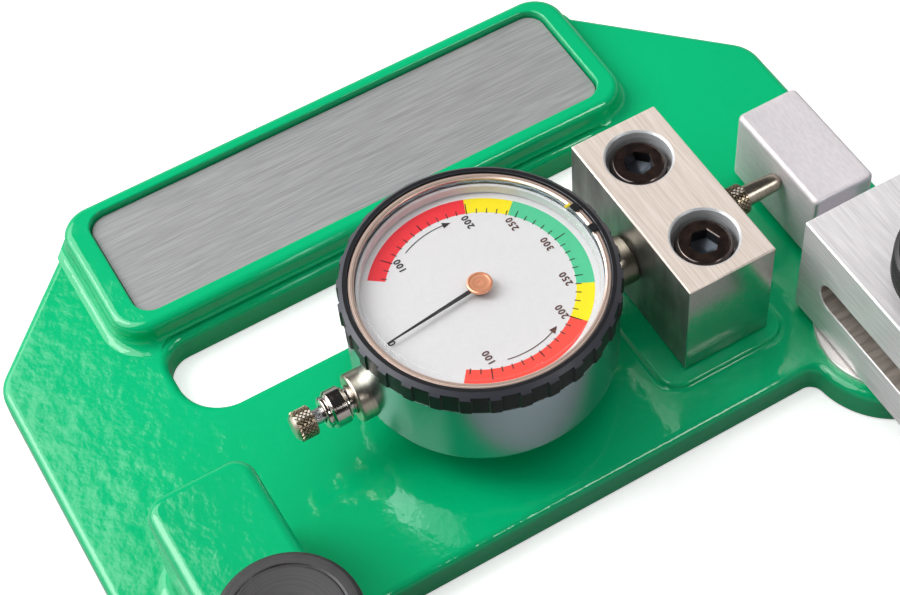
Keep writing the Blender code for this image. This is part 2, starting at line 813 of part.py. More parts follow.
def rack_cutter():
    """The space beside the rack's teeth, with a gap between two teeth opposite the pinion."""
    tip_y = rack_line_y - tooth_addendum
    root_y = rack_line_y + tooth_dedendum
    count = int(rack_half_length / rack_pitch)
    start_x = rack_pinion_x - (count + 0.5) * rack_pitch
    outline = [(start_x - rack_pitch, -plunger_radius - cut_overrun),
               (start_x + (2 * count + 2) * rack_pitch, -plunger_radius - cut_overrun),
               (start_x + (2 * count + 2) * rack_pitch, root_y)]
    for index in range(2 * count + 1, -1, -1):
        tooth_x = start_x + index * rack_pitch
        outline += [(tooth_x + rack_pitch / 2, root_y), (tooth_x, tip_y)]
    outline += [(start_x - rack_pitch / 2, root_y), (start_x - rack_pitch, root_y)]
    return slab(outline, stem_height - plunger_radius - cut_overrun,
                stem_height + plunger_radius + cut_overrun)


def make_return_spring(steel):
    """The compression spring between the rear bush and the plunger's collar."""
    start = -stem_spigot_reach + seat_gap + return_spring_wire_radius
    end = plunger_collar_x - plunger_collar_length - seat_gap - return_spring_wire_radius
    count = return_spring_turns * spring_points_per_turn
    curve = bpy.data.curves.new("return_spring", "CURVE")
    curve.dimensions = "3D"
    curve.bevel_depth = return_spring_wire_radius
    curve.bevel_resolution = 0
    curve.use_fill_caps = True
    spline = curve.splines.new("POLY")
    spline.points.add(count)
    for index, point in enumerate(spline.points):
        share = index / count
        angle = 2 * math.pi * return_spring_turns * share
        point.co = (start + (end - start) * share, return_spring_mean_radius * math.cos(angle),
                    stem_height + return_spring_mean_radius * math.sin(angle), 1)
    spring = bpy.data.objects.new("return_spring", curve)
    bpy.context.scene.collection.objects.link(spring)
    curve.materials.append(steel)


def wheel_outline(teeth, pitch_radius, tooth_angle):
    """A toothed wheel's outline of pointed teeth, with one tooth at the given angle."""
    tip = pitch_radius + tooth_addendum
    root = pitch_radius - tooth_dedendum
    points = []
    for index in range(2 * teeth):
        radius = root if index % 2 else tip
        angle = tooth_angle + math.pi * index / teeth
        points.append((radius * math.cos(angle), radius * math.sin(angle)))
    return points


def make_movement(brass, steel, rack_axis, centre_axis, take_up_axis):
    """Plates, pillars, the two wheels, their arbors, the centre pinion and the hairspring."""
    wheel_place = (rack_pinion_x, rack_pinion_y)
    take_up_place = (-rack_pinion_x, -rack_pinion_y)
    plate_radius = case_bore_radius - seat_gap
    base = add_object("movement_base", slab(circle(plate_radius, middle_round_steps),
                                            base_plate_bottom, base_plate_top), brass)
    drill(base, [wheel_place, take_up_place, (0, 0)], arbor_radius + turning_gap,
          base_plate_bottom - cut_overrun / 2, base_plate_top + cut_overrun / 2, tiny_round_steps)
    bridge = add_object("movement_bridge", slab(circle(bridge_radius, middle_round_steps),
                                                bridge_bottom, bridge_top), brass)
    drill(bridge, [wheel_place, take_up_place, (0, 0)], arbor_radius + turning_gap,
          bridge_bottom - cut_overrun / 2, bridge_top + cut_overrun / 2, tiny_round_steps)
    for number, degrees in enumerate(pillar_angles_deg, 1):
        angle = math.radians(degrees)
        place = (pillar_circle_radius * math.cos(angle), pillar_circle_radius * math.sin(angle))
        pillar = slab(circle(pillar_radius, tiny_round_steps), base_plate_top + seat_gap,
                      bridge_bottom - seat_gap)
        add_object(f"bridge_pillar_{number}", pillar, brass, (*place, 0))

    wheel_top = wheel_bottom + wheel_thickness
    to_centre = math.atan2(-rack_pinion_y, -rack_pinion_x)
    for name, place, angle, axis in (("drive_wheel", wheel_place, to_centre, rack_axis),
                                     ("take_up_wheel", take_up_place, to_centre + math.pi,
                                      take_up_axis)):
        wheel = add_object(name, slab(wheel_outline(wheel_teeth, wheel_radius, angle),
                                      wheel_bottom, wheel_top), brass, (*place, 0), axis)
        combine(wheel, add_object("wheel_bore", slab(circle(arbor_radius + turning_gap,
                                                            tiny_round_steps),
                                                     wheel_bottom - cut_overrun,
                                                     wheel_top + cut_overrun), None,
                                  (*place, 0)), "DIFFERENCE")

    pinion_low = stem_height - rack_pinion_height / 2
    pinion_high = stem_height + rack_pinion_height / 2
    arbor_top = bridge_top
    pinion = add_object("rack_pinion", slab(wheel_outline(rack_pinion_teeth, rack_pinion_radius,
                                                          math.pi / 2), pinion_low, pinion_high),
                        steel, (*wheel_place, 0), rack_axis)
    arbor = slab(circle(arbor_radius, tiny_round_steps), stem_height, arbor_top)
    combine(pinion, add_object("arbor", arbor, None, (*wheel_place, 0)), "UNION")

    half_step = math.pi / centre_pinion_teeth
    centre = add_object("centre_pinion", slab(wheel_outline(centre_pinion_teeth,
                                                            centre_pinion_radius, to_centre
                                                            + math.pi + half_step),
                                              wheel_bottom - seat_gap, wheel_top + seat_gap),
                        steel, (0, 0, 0), centre_axis)
    arbor = slab(circle(centre_arbor_radius, tiny_round_steps), base_plate_bottom,
                 hub_bottom - seat_gap / 2)
    combine(centre, add_object("arbor", arbor, None), "UNION")
    add_object("take_up_arbor", slab(circle(arbor_radius, tiny_round_steps), base_plate_bottom,
                                     arbor_top), steel, (*take_up_place, 0), take_up_axis)
    add_object("hairspring", hairspring_strip(), steel, (*take_up_place, 0), take_up_axis)


def hairspring_strip():
    """The flat spiral that keeps the wheels' teeth pressed to one side."""
    low = wheel_bottom + wheel_thickness + seat_gap
    inner = arbor_radius + turning_gap + hairspring_strip_thickness
    count = int(hairspring_turns * hairspring_points_per_turn)
    inside = []
    outside = []
    for index in range(count + 1):
        angle = 2 * math.pi * index / hairspring_points_per_turn
        radius = inner + (hairspring_outer_radius - inner) * index / count
        inside.append((radius * math.cos(angle), radius * math.sin(angle)))
        radius += hairspring_strip_thickness
        outside.append((radius * math.cos(angle), radius * math.sin(angle)))
    build = bmesh.new()
    rails = []
    for points, height in ((inside, low), (outside, low),
                           (outside, low + hairspring_strip_width),
                           (inside, low + hairspring_strip_width)):
        rails.append([build.verts.new((x, y, height)) for x, y in points])
    for index in range(count):
        for side in range(4):
            first = rails[side]
            second = rails[(side + 1) % 4]
            build.faces.new((first[index], first[index + 1], second[index + 1], second[index]))
    build.faces.new([rail[0] for rail in rails])
    build.faces.new([rail[-1] for rail in reversed(rails)])
    return build


def make_pointer(black, copper, axis):
    """The pointer and the copper-coloured cap over its hub, pointing at the dial's zero."""
    start = math.asin(pointer_root_width / 2 / pointer_disc_radius)
    outline = [(pointer_length, pointer_tip_width / 2)]
    for step in range(middle_round_steps // 2 + 1):
        angle = start + (2 * math.pi - 2 * start) * step / (middle_round_steps // 2)
        outline.append((pointer_disc_radius * math.cos(angle),
                        pointer_disc_radius * math.sin(angle)))
    outline.append((pointer_length, -pointer_tip_width / 2))
    pointer = add_object("pointer", slab(outline, 0, pointer_thickness), black,
                         (0, 0, pointer_bottom), axis)
    hole = slab(circle(centre_arbor_radius + turning_gap, tiny_round_steps), -cut_overrun,
                pointer_thickness + cut_overrun)
    combine(pointer, add_object("hole", hole, None, (0, 0, pointer_bottom)), "DIFFERENCE")
    pointer.rotation_euler = (0, 0, math.radians(pointer_rest_angle_deg))
    add_object("pointer_hub", slab(circle(hub_radius, small_round_steps), hub_bottom, hub_bottom
                                   + hub_height), copper, (0, 0, 0), axis)


def make_dial(white, silver, axis):
    """The dial, the carrier that turns it with the bezel, and the ring under the crystal."""
    flange_radius = case_spigot_radius
    lip_radius = carrier_bore_radius - carrier_lip_width
    lip_top = carrier_bottom + carrier_lip_thickness
    profile = [(carrier_outer_radius, carrier_bottom), (carrier_outer_radius,
                                                        carrier_flange_bottom),
               (flange_radius, carrier_flange_bottom), (flange_radius, carrier_top),
               (carrier_bore_radius, carrier_top), (carrier_bore_radius, lip_top),
               (lip_radius, lip_top), (lip_radius, carrier_bottom)]
    carrier = add_object("dial_carrier", turned(profile, middle_round_steps), silver, parent=axis)
    smooth_rounds(carrier)
    profile = [(dial_hole_radius, dial_bottom), (dial_radius, dial_bottom),
               (dial_radius, dial_top), (dial_hole_radius, dial_top)]
    add_object("dial_face", turned(profile, middle_round_steps), white, parent=axis)
    top = spacer_bottom + spacer_height
    profile = [(dial_radius - spacer_wall, spacer_bottom), (dial_radius, spacer_bottom),
               (dial_radius, top), (dial_radius - spacer_wall, top)]
    ring = add_object("spacer_ring", turned(profile, middle_round_steps), white, parent=axis)
    smooth_rounds(ring)


def make_crystal(clear, copper, yellow, axis):
    """The crystal, the ring that holds it, and the two tolerance markers on the ring."""
    top_radius = dial_radius - crystal_shoulder_width
    top = crystal_flange_top + crystal_rise
    profile = [(0, crystal_bottom), (dial_radius, crystal_bottom),
               (dial_radius, crystal_flange_top), (top_radius, crystal_flange_top),
               (top_radius, top - crystal_rise / 4), (top_radius / 2, top - crystal_rise / 16),
               (0, top)]
    crystal = add_object("crystal", turned(profile, middle_round_steps), clear, parent=axis)
    smooth_rounds(crystal)
    ring_outer = bezel_inner_radius - turning_gap
    ring_inner = ring_outer - crystal_ring_width
    ring_top = crystal_ring_bottom + crystal_ring_height
    profile = [(ring_inner, crystal_ring_bottom), (ring_outer, crystal_ring_bottom),
               (ring_outer, ring_top), (ring_inner, ring_top)]
    ring = add_object("crystal_ring", turned(profile, large_round_steps), copper, parent=axis)
    smooth_rounds(ring)
    outline = rectangle(ring_inner, ring_outer, -marker_width / 2, marker_width / 2)
    for number, degrees in enumerate(marker_angles_deg, 1):
        marker = add_object(f"tolerance_marker_{number}",
                            slab(outline, ring_top + seat_gap, ring_top + seat_gap
                                 + marker_height), yellow, parent=axis)
        marker.rotation_euler = (0, 0, math.radians(degrees))


def make_bezel(black, axis):
    """The grip bezel: a turned ring whose outer wall has evenly spaced notches."""
    chamfer_base = bezel_top - bezel_chamfer
    profile = [(bezel_radius, bezel_bottom), (bezel_radius, chamfer_base),
               (bezel_radius - bezel_chamfer_width, bezel_top), (bezel_inner_radius, bezel_top),
               (bezel_inner_radius, bezel_top - bezel_lip_thickness),
               (bezel_skirt_radius, bezel_top - bezel_lip_thickness),
               (bezel_skirt_radius, bezel_bottom)]
    pitch = 2 * math.pi / bezel_notch_count
    corners = ((0, 0), (bezel_notch_slope_share, 1), (bezel_notch_share
               - bezel_notch_slope_share, 1), (bezel_notch_share, 0))
    angles = []
    depths = []
    for index in range(bezel_notch_count):
        for share, depth in corners:
            angles.append((index + share) * pitch)
            depths.append(depth * bezel_notch_depth)
    build = bmesh.new()
    rings = []
    for place, (radius, height) in enumerate(profile):
        ring = []
        for angle, depth in zip(angles, depths):
            reach = radius - depth if place < 2 else radius
            ring.append(build.verts.new((reach * math.cos(angle), reach * math.sin(angle),
                                         height)))
        rings.append(ring)
    for index, ring in enumerate(rings):
        upper = rings[(index + 1) % len(rings)]
        for step in range(len(ring)):
            following = (step + 1) % len(ring)
            build.faces.new((ring[step], ring[following], upper[following], upper[step]))
    bezel = add_object("bezel", build, black, parent=axis)
    smooth_rounds(bezel)


def make_lever(aluminium, cast_aluminium, steel, bronze, axis):
    """The jaw block, the arm in its rebate, their screws and the pivot."""
    left = right_clamp_x - jaw_width / 2
    right = right_clamp_x + jaw_width / 2
    front = clamp_y - clamp_front_reach
    jaw = add_object("jaw_block", moved(slab(rectangle(left, right, front, jaw_back_y),
                                             lever_bottom, clamp_top, jaw_edge, round_steps=1),
                                        -pivot_x, -pivot_y), aluminium, (pivot_x, pivot_y, 0),
                     axis)
    cut_blade_slot(jaw, left - cut_overrun, right + cut_overrun, front - cut_overrun)
    tongue_top = lever_bottom + tongue_height
    cut_box(jaw, (arm_left_x - seat_gap, tongue_front_y - seat_gap, lever_bottom - cut_overrun),
            (arm_right_x + seat_gap, jaw_back_y + cut_overrun, tongue_top + seat_gap))
    drill(jaw, [(right_clamp_x, clamp_y)], spindle_radius + seat_gap,
          slot_ceiling - blade_slot_height / 2, clamp_top + cut_overrun, small_round_steps)
    drill(jaw, [(pivot_x, pivot_y)], pin_radius + turning_gap, lever_bottom - cut_overrun,
          lever_bottom + pin_reach_in_jaw + seat_gap, small_round_steps)
    screw_middle = arm_left_x + arm_width / 2
    screw_places = [(screw_middle - arm_screw_spacing / 2, arm_screw_y),
                    (screw_middle + arm_screw_spacing / 2, arm_screw_y)]
    screw_bottom = lever_bottom + seat_gap
    screw_top = screw_bottom + arm_screw_head_height + arm_screw_reach
    drill(jaw, screw_places, arm_screw_radius + turning_gap, tongue_top - cut_overrun,
          screw_top + seat_gap, tiny_round_steps)
    smooth_rounds(jaw)

    arm = add_object("lever_arm", moved(slab(rectangle(arm_left_x, arm_right_x, arm_front_y,
                                                       arm_back_y, arm_corner_radius),
                                             lever_bottom, lever_bottom + arm_height,
                                             arm_edge_round),
                                        -pivot_x, -pivot_y), cast_aluminium,
                     (pivot_x, pivot_y, 0), axis)
    tongue = slab(rectangle(arm_left_x, arm_right_x, tongue_front_y, arm_front_y
                            + arm_corner_radius * 2), lever_bottom, tongue_top)
    combine(arm, add_object("tongue", tongue, None), "UNION")
    drill(arm, screw_places, arm_screw_radius + turning_gap, lever_bottom - cut_overrun,
          tongue_top + cut_overrun, tiny_round_steps)
    drill(arm, screw_places, arm_screw_head_radius + turning_gap, lever_bottom - cut_overrun,
          screw_bottom + arm_screw_head_height + seat_gap / 2, tiny_round_steps)
    smooth_rounds(arm)

    profile = [(0, screw_bottom), (arm_screw_head_radius, screw_bottom),
               (arm_screw_head_radius, screw_bottom + arm_screw_head_height),
               (arm_screw_radius, screw_bottom + arm_screw_head_height),
               (arm_screw_radius, screw_top), (0, screw_top)]
    for number, (x, y) in enumerate(screw_places, 1):
        add_object(f"arm_screw_{number}", turned(profile, tiny_round_steps), steel, (x, y, 0),
                   axis)
    make_pivot(steel, bronze, axis)


def make_pivot(steel, bronze, axis):
    """The lever's pin, the bush in the frame, and the washer and screw that hold it down."""
    place = (pivot_x, pivot_y, 0)
    washer_bottom = pivot_screw_sunk + pivot_screw_head_height + turning_gap / 2
    pin_bottom = washer_bottom + washer_thickness + turning_gap / 2
    pin_top = lever_bottom + pin_reach_in_jaw
    tapped = pivot_screw_radius + turning_gap
    screw_end = pivot_screw_sunk + pivot_screw_head_height + pivot_screw_length
    profile = [(tapped, pin_bottom), (pin_radius, pin_bottom), (pin_radius, pin_top),
               (0, pin_top), (0, screw_end + seat_gap), (tapped, screw_end + seat_gap)]
    pin = add_object("pivot_pin", turned(profile, small_round_steps), steel, place, axis)
    smooth_rounds(pin)
    bush_bottom = washer_seat_height() + turning_gap / 2
    bore = pin_radius + turning_gap
    profile = [(bore, bush_bottom), (bore + bush_wall, bush_bottom),
               (bore + bush_wall, machined_top), (bore, machined_top)]
    bush = add_object("pivot_bush", turned(profile, small_round_steps), bronze, place)
    smooth_rounds(bush)
    profile = [(tapped, washer_bottom), (washer_radius, washer_bottom),
               (washer_radius, washer_bottom + washer_thickness),
               (tapped, washer_bottom + washer_thickness)]
    add_object("pivot_washer", turned(profile, small_round_steps), steel, place, axis)
    head_top = pivot_screw_sunk + pivot_screw_head_height
    profile = [(0, pivot_screw_sunk), (pivot_screw_head_radius, pivot_screw_sunk),
               (pivot_screw_head_radius, head_top), (pivot_screw_radius, head_top),
               (pivot_screw_radius, screw_end), (0, screw_end)]
    add_object("pivot_screw", turned(profile, tiny_round_steps), steel, place, axis)


def make_clamp(side, x, steel, black, pad_axis, screw_axis):
    """One blade clamp: the spindle with its knob, and the pad that swivels on its end."""
    place = (x, clamp_y, 0)
    pad_top = slot_ceiling - seat_gap
    pad_bottom = pad_top - pressure_pad_height
    socket = spindle_neck_radius + turning_gap
    socket_floor = pad_top - pressure_pad_socket_depth
    profile = [(0, pad_bottom), (pressure_pad_radius, pad_bottom), (pressure_pad_radius, pad_top),
               (socket, pad_top), (socket, socket_floor), (0, socket_floor)]
    pad = add_object(side + "_pressure_pad", turned(profile, small_round_steps), steel, place,
                     pad_axis)
    smooth_rounds(pad)
    spindle_top = knob_top - knob_cover - seat_gap
    shoulder = slot_ceiling
    profile = [(0, socket_floor + turning_gap), (spindle_neck_radius, socket_floor + turning_gap),
               (spindle_neck_radius, shoulder), (spindle_radius, shoulder),
               (spindle_radius, spindle_top), (0, spindle_top)]
    spindle = add_object(side + "_spindle", turned(profile, small_round_steps), steel, place,
                         screw_axis)
    smooth_rounds(spindle)
    bore = spindle_radius + turning_gap
    profile = [(bore, knob_bottom), (knob_radius - knob_edge, knob_bottom),
               (knob_radius, knob_bottom + knob_edge), (knob_radius, knob_top - knob_edge),
               (knob_radius - knob_edge, knob_top), (0, knob_top),
               (0, knob_top - knob_cover), (bore, knob_top - knob_cover)]
    knob = add_object(side + "_knob", turned(profile, middle_round_steps), black, place,
                      screw_axis)
    smooth_rounds(knob)


def build_gauge():
    """Make every piece."""
    clear_scene()
    green = make_finish("green_enamel", (0.0, 0.45, 0.2), 0.25, 0.0)
    brushed = make_finish("brushed_plate", (0.42, 0.42, 0.42), 0.4, 1.0)
    aluminium = make_finish("milled_aluminium", (0.78, 0.75, 0.72), 0.35, 1.0)
    cast_aluminium = make_finish("tumbled_aluminium", (0.75, 0.73, 0.74), 0.5, 1.0)
    silver = make_finish("silver_case", (0.62, 0.64, 0.63), 0.3, 1.0)
    nickel = make_finish("nickel", (0.72, 0.68, 0.6), 0.25, 1.0)
    chrome = make_finish("chrome", (0.8, 0.8, 0.8), 0.08, 1.0)
    steel = make_finish("steel", (0.55, 0.55, 0.56), 0.3, 1.0)
    black_steel = make_finish("black_steel", (0.03, 0.025, 0.025), 0.35, 0.6)
    black = make_finish("black_plastic", (0.03, 0.03, 0.033), 0.5, 0.0)
    brass = make_finish("brass", (0.75, 0.55, 0.25), 0.3, 1.0)
    bronze = make_finish("bronze", (0.55, 0.35, 0.18), 0.35, 1.0)
    copper = make_finish("copper", (0.85, 0.5, 0.35), 0.3, 1.0)
    white = make_finish("dial_white", (0.9, 0.9, 0.9), 0.5, 0.0)
    clear = make_finish("clear_crystal", (0.95, 0.97, 0.97), 0.02, 0.0)
    yellow = make_finish("marker_yellow", (0.75, 0.6, 0.05), 0.4, 0.0)

    lever_axis = make_axis("lever_axis", (pivot_x, pivot_y, 0))
    bezel_axis = make_axis("bezel_axis", (0, 0, bezel_bottom))
    centre_axis = make_axis("centre_axis", (0, 0, wheel_bottom))
    plunger_axis = make_axis("plunger_axis", (0, 0, stem_height))
    rack_axis = make_axis("rack_wheel_axis", (rack_pinion_x, rack_pinion_y, wheel_bottom))
    take_up_axis = make_axis("take_up_axis", (-rack_pinion_x, -rack_pinion_y, wheel_bottom))
    left_pad_axis = make_axis("left_pad_axis", (left_clamp_x, clamp_y, slot_ceiling))
    left_screw_axis = make_axis("left_screw_axis", (left_clamp_x, clamp_y, knob_bottom))
    right_pad_axis = make_axis("right_pad_axis", (right_clamp_x, clamp_y, slot_ceiling))
    right_screw_axis = make_axis("right_screw_axis", (right_clamp_x, clamp_y, knob_bottom))

    make_frame(green)
    make_nameplate(brushed)
    block_top = make_block(aluminium)
    make_block_screws(black_steel, block_top)
    make_lock_screw(steel)
    make_case(silver)
    make_back(silver, steel)
    make_stem(nickel)
    make_rear_bush(nickel, chrome)
    make_plunger(steel, nickel, plunger_axis)
    make_return_spring(steel)
    make_movement(brass, steel, rack_axis, centre_axis, take_up_axis)
    make_pointer(black, copper, centre_axis)
    make_dial(white, silver, bezel_axis)
    make_crystal(clear, copper, yellow, bezel_axis)
    make_bezel(black, bezel_axis)
    make_lever(aluminium, cast_aluminium, steel, bronze, lever_axis)
    make_clamp("left", left_clamp_x, steel, black, left_pad_axis, left_screw_axis)
    make_clamp("right", right_clamp_x, steel, black, right_pad_axis, right_screw_axis)


build_gauge()
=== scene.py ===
# %% [markdown]
# # A blade tension gauge
# This lesson dresses a finished construction model. The solids already have their real size and
# place, so nothing is measured again here: each cell looks at one piece of the tool, says what it
# is, and gives it a finer surface and a finish. All sizes are in metres, and +Z points up through
# the dial.

# %% Load the construction model
import json
import math

import bmesh
import bpy
from mathutils import Matrix, Vector

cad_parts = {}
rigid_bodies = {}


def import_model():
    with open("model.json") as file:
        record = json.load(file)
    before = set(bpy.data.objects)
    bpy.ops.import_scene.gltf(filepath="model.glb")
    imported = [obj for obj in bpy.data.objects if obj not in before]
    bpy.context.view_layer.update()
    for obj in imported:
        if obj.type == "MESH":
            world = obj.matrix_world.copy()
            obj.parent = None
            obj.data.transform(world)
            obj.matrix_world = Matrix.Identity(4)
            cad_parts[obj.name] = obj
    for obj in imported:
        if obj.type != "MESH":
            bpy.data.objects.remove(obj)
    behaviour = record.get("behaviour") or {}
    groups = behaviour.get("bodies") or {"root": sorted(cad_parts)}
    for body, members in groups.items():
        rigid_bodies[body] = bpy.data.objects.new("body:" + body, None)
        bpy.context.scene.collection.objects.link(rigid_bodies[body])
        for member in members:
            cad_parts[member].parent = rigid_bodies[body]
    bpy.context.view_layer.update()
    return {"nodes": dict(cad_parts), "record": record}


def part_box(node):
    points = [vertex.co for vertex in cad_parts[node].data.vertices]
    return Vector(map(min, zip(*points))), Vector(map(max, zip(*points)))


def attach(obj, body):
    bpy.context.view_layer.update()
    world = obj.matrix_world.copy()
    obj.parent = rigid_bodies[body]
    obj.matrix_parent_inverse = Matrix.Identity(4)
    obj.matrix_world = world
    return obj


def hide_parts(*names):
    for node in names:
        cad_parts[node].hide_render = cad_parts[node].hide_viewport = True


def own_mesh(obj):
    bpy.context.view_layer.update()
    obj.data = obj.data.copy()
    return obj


for item in list(bpy.data.objects):
    bpy.data.objects.remove(item)
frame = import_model()
scene = bpy.context.scene
scene.view_settings.view_transform = "Standard"

# %% [markdown]
# ## The camera
# The photographer stood to the front left and looked steeply down. A camera can be given a target
# to look at, but then its roll is always zero. Here the roll is one of the values, so the view
# direction is built first and then turned about itself.

# %% Camera
camera_place = Vector((-0.10248, -0.20531, 0.36209))
camera_direction = Vector((0.24333, 0.52149, -0.81782))
camera_roll_deg = -6.017
camera_lens = 80.95

camera_data = bpy.data.cameras.new("camera")
camera_data.lens = camera_lens
camera = bpy.data.objects.new("camera", camera_data)
scene.collection.objects.link(camera)
level = camera_direction.to_track_quat("-Z", "Y").to_matrix().to_4x4()
roll = Matrix.Rotation(math.radians(camera_roll_deg), 4, "Z")
camera.matrix_world = Matrix.Translation(camera_place) @ level @ roll
scene.camera = camera
print("camera height:", round(camera_place.z, 3), "m")

# %% [markdown]
# ## Mesh helpers
# Most of this tool is either cut from flat stock or turned on a lathe. For flat stock a band is
# wrapped round a set of discs, as a belt runs round pulleys, which gives any outline with round
# corners. Copies of that outline are then stacked, each drawn in or let out a little, which rounds
# the edges. For turned pieces a profile with round corners is spun about Z. Working from outlines
# keeps the rounds exact, where a bevel modifier would have to guess them.

# %% Bands
band_steps = 96
angle_slack = 0.001


def wrap(discs, steps=band_steps):
    """Points of a band round (x, y, radius) discs, with the way out at each point.

    A disc with a negative radius bends the band inwards.
    """
    leaving = []
    for (ax, ay, ar), (bx, by, br) in zip(discs, discs[1:] + discs[:1]):
        span = math.hypot(bx - ax, by - ay)
        lean = math.acos(max(-1, min(1, (ar - br) / span)))
        leaving.append(math.atan2(by - ay, bx - ax) - lean)
    band = []
    for index, (x, y, radius) in enumerate(discs):
        start = leaving[index - 1]
        turn = (leaving[index] - start) % math.tau
        if radius < 0:
            turn -= math.tau
        if abs(turn) > math.tau - angle_slack:
            turn = 0
        count = max(1, round(abs(turn) / math.tau * steps))
        for step in range(count + 1):
            angle = start + turn * step / count
            way = (math.cos(angle), math.sin(angle))
            band.append((x + radius * way[0], y + radius * way[1], *way))
    return band


# %% Outlines with round corners
def fit_round(before, corner, after, radius):
    """The centre of the round in a corner, and the ways back and ahead from the corner."""
    back = (Vector(before[:2]) - corner).normalized()
    ahead = (Vector(after[:2]) - corner).normalized()
    half = back.angle(ahead) / 2
    return corner + (back + ahead).normalized() * (radius / math.sin(half)), back, ahead


def corner_discs(corners):
    """The discs that sit in the corners of an outline of (x, y, radius) points."""
    discs = []
    for index, (x, y, radius) in enumerate(corners):
        after = corners[(index + 1) % len(corners)]
        middle, back, ahead = fit_round(corners[index - 1], Vector((x, y)), after, radius)
        outward = back.x * ahead.y - back.y * ahead.x < 0
        discs.append((middle.x, middle.y, radius if outward else -radius))
    return discs


def box_discs(left, right, front, back, radius):
    """The four corner discs of a rectangle."""
    return corner_discs([(right, front, radius), (right, back, radius), (left, back, radius),
                         (left, front, radius)])


def box_band(low, high, radius, steps=band_steps):
    """A band round a box from corner to corner, with round corners."""
    return wrap(box_discs(low.x, high.x, low.y, high.y, radius), steps)


def circle_band(x, y, radius, steps=band_steps):
    """A band round a single disc."""
    angles = [math.tau * step / steps for step in range(steps)]
    return [(x + radius * math.cos(a), y + radius * math.sin(a), math.cos(a), math.sin(a))
            for a in angles]


# %% Edges
hair_edge = 0.0001
fine_edge = 0.0002
filed_edge = 0.0003
soft_edge = 0.0004
gap = 0.0003


def quarter(steps, start=0.0):
    """Angles from a first one up to a right angle."""
    return [start + (math.pi / 2 - start) * step / steps for step in range(steps + 1)]


def round_over(top, radius, steps=5):
    """Layers that round an upper edge."""
    return [(radius * (1 - math.cos(a)), top - radius + radius * math.sin(a))
            for a in quarter(steps)]


def round_under(bottom, radius, steps=3):
    """Layers that round a lower edge."""
    return [(radius * (1 - math.sin(a)), bottom + radius * (1 - math.cos(a)))
            for a in quarter(steps)]


def widening(layers):
    """The same layers let out instead of drawn in, for the mouth of a cutter."""
    return [(-inset, height) for inset, height in layers]


def break_edges(low, high, edge):
    """Layers of an upright wall whose two edges are broken with a file."""
    return [(edge, low), (0, low + edge), (0, high - edge), (edge, high)]


def flare(foot, height, reach, sunk, steps=6):
    """Layers of the soft fillet where an upright wall meets the face it stands on."""
    layers = [(-reach * (1 - math.sin(a)), foot + height * (1 - math.cos(a)))
              for a in quarter(steps, math.radians(3))]
    return [(layers[0][0], foot - sunk)] + layers


print("edges:", [size * 1000 for size in (hair_edge, fine_edge, filed_edge, soft_edge)], "mm")


# %% Stacked solids
def stack(band, layers):
    """A solid of copies of a band, one for each (inset, height) layer."""
    build = bmesh.new()
    rings = []
    for inset, height in layers:
        rings.append([build.verts.new((x - nx * inset, y - ny * inset, height))
                      for x, y, nx, ny in band])
    for low, high in zip(rings, rings[1:]):
        for step in range(len(band)):
            after = (step + 1) % len(band)
            build.faces.new((low[step], low[after], high[after], high[step]))
    build.faces.new(list(reversed(rings[0])))
    build.faces.new(rings[-1])
    return build


def prism(band, low, high):
    """A plain upright solid with a band as its outline."""
    return stack(band, [(0, low), (0, high)])


# %% Turned solids
corner_steps = 3
on_axis = 1e-7


def turned(profile, steps=96):
    """A solid turned about Z from (radius, height) corners, with a third value for a round."""
    points = []
    for index, (radius, height, *rounding) in enumerate(profile):
        if not rounding:
            points.append((radius, height))
            continue
        corner = Vector((radius, height))
        after = profile[(index + 1) % len(profile)]
        middle, back, ahead = fit_round(profile[index - 1], corner, after, rounding[0])
        reach = rounding[0] / math.tan(back.angle(ahead) / 2)
        start = corner + back * reach - middle
        end = corner + ahead * reach - middle
        turn = math.atan2(start.x * end.y - start.y * end.x, start.dot(end))
        for step in range(corner_steps + 1):
            points.append(tuple(middle + Matrix.Rotation(turn * step / corner_steps, 2) @ start))
    build = bmesh.new()
    rings = []
    for radius, height in points:
        if radius < on_axis:
            rings.append([build.verts.new((0, 0, height))])
        else:
            rings.append([build.verts.new((radius * math.cos(math.tau * s / steps),
                                           radius * math.sin(math.tau * s / steps), height))
                          for s in range(steps)])
    for low, high in zip(rings, rings[1:] + rings[:1]):
        if len(low) == 1 and len(high) == 1:
            continue
        for step in range(steps):
            after = (step + 1) % steps
            if len(low) == 1:
                build.faces.new((low[0], high[after], high[step]))
            elif len(high) == 1:
                build.faces.new((low[step], low[after], high[0]))
            else:
                build.faces.new((low[step], low[after], high[after], high[step]))
    bmesh.ops.recalc_face_normals(build, faces=build.faces)
    return build


# %% From a bmesh to an object
def to_object(name, build, place=None):
    """Make a mesh object of a bmesh, at the origin, with its place in its mesh."""
    if place is not None:
        build.transform(place)
    mesh = bpy.data.meshes.new(name)
    build.to_mesh(mesh)
    build.free()
    piece = bpy.data.objects.new(name, mesh)
    scene.collection.objects.link(piece)
    return piece


def bake(piece):
    """Turn a piece with modifiers into a plain mesh."""
    graph = bpy.context.evaluated_depsgraph_get()
    mesh = bpy.data.meshes.new_from_object(piece.evaluated_get(graph))
    piece.modifiers.clear()
    old = piece.data
    piece.data = mesh
    bpy.data.meshes.remove(old)
    mesh.name = piece.name


# %% Join, cut and drill
def combine(piece, tool, operation):
    """Join a tool to a piece, cut it out, or keep what both share; the tool is then removed."""
    step = piece.modifiers.new("combine", "BOOLEAN")
    step.operation = operation
    step.solver = "EXACT"
    step.object = tool
    bake(piece)
    bpy.data.objects.remove(tool, do_unlink=True)


def cut(piece, build, place=None):
    """Cut a shape out of a piece."""
    combine(piece, to_object("cutter", build, place), "DIFFERENCE")


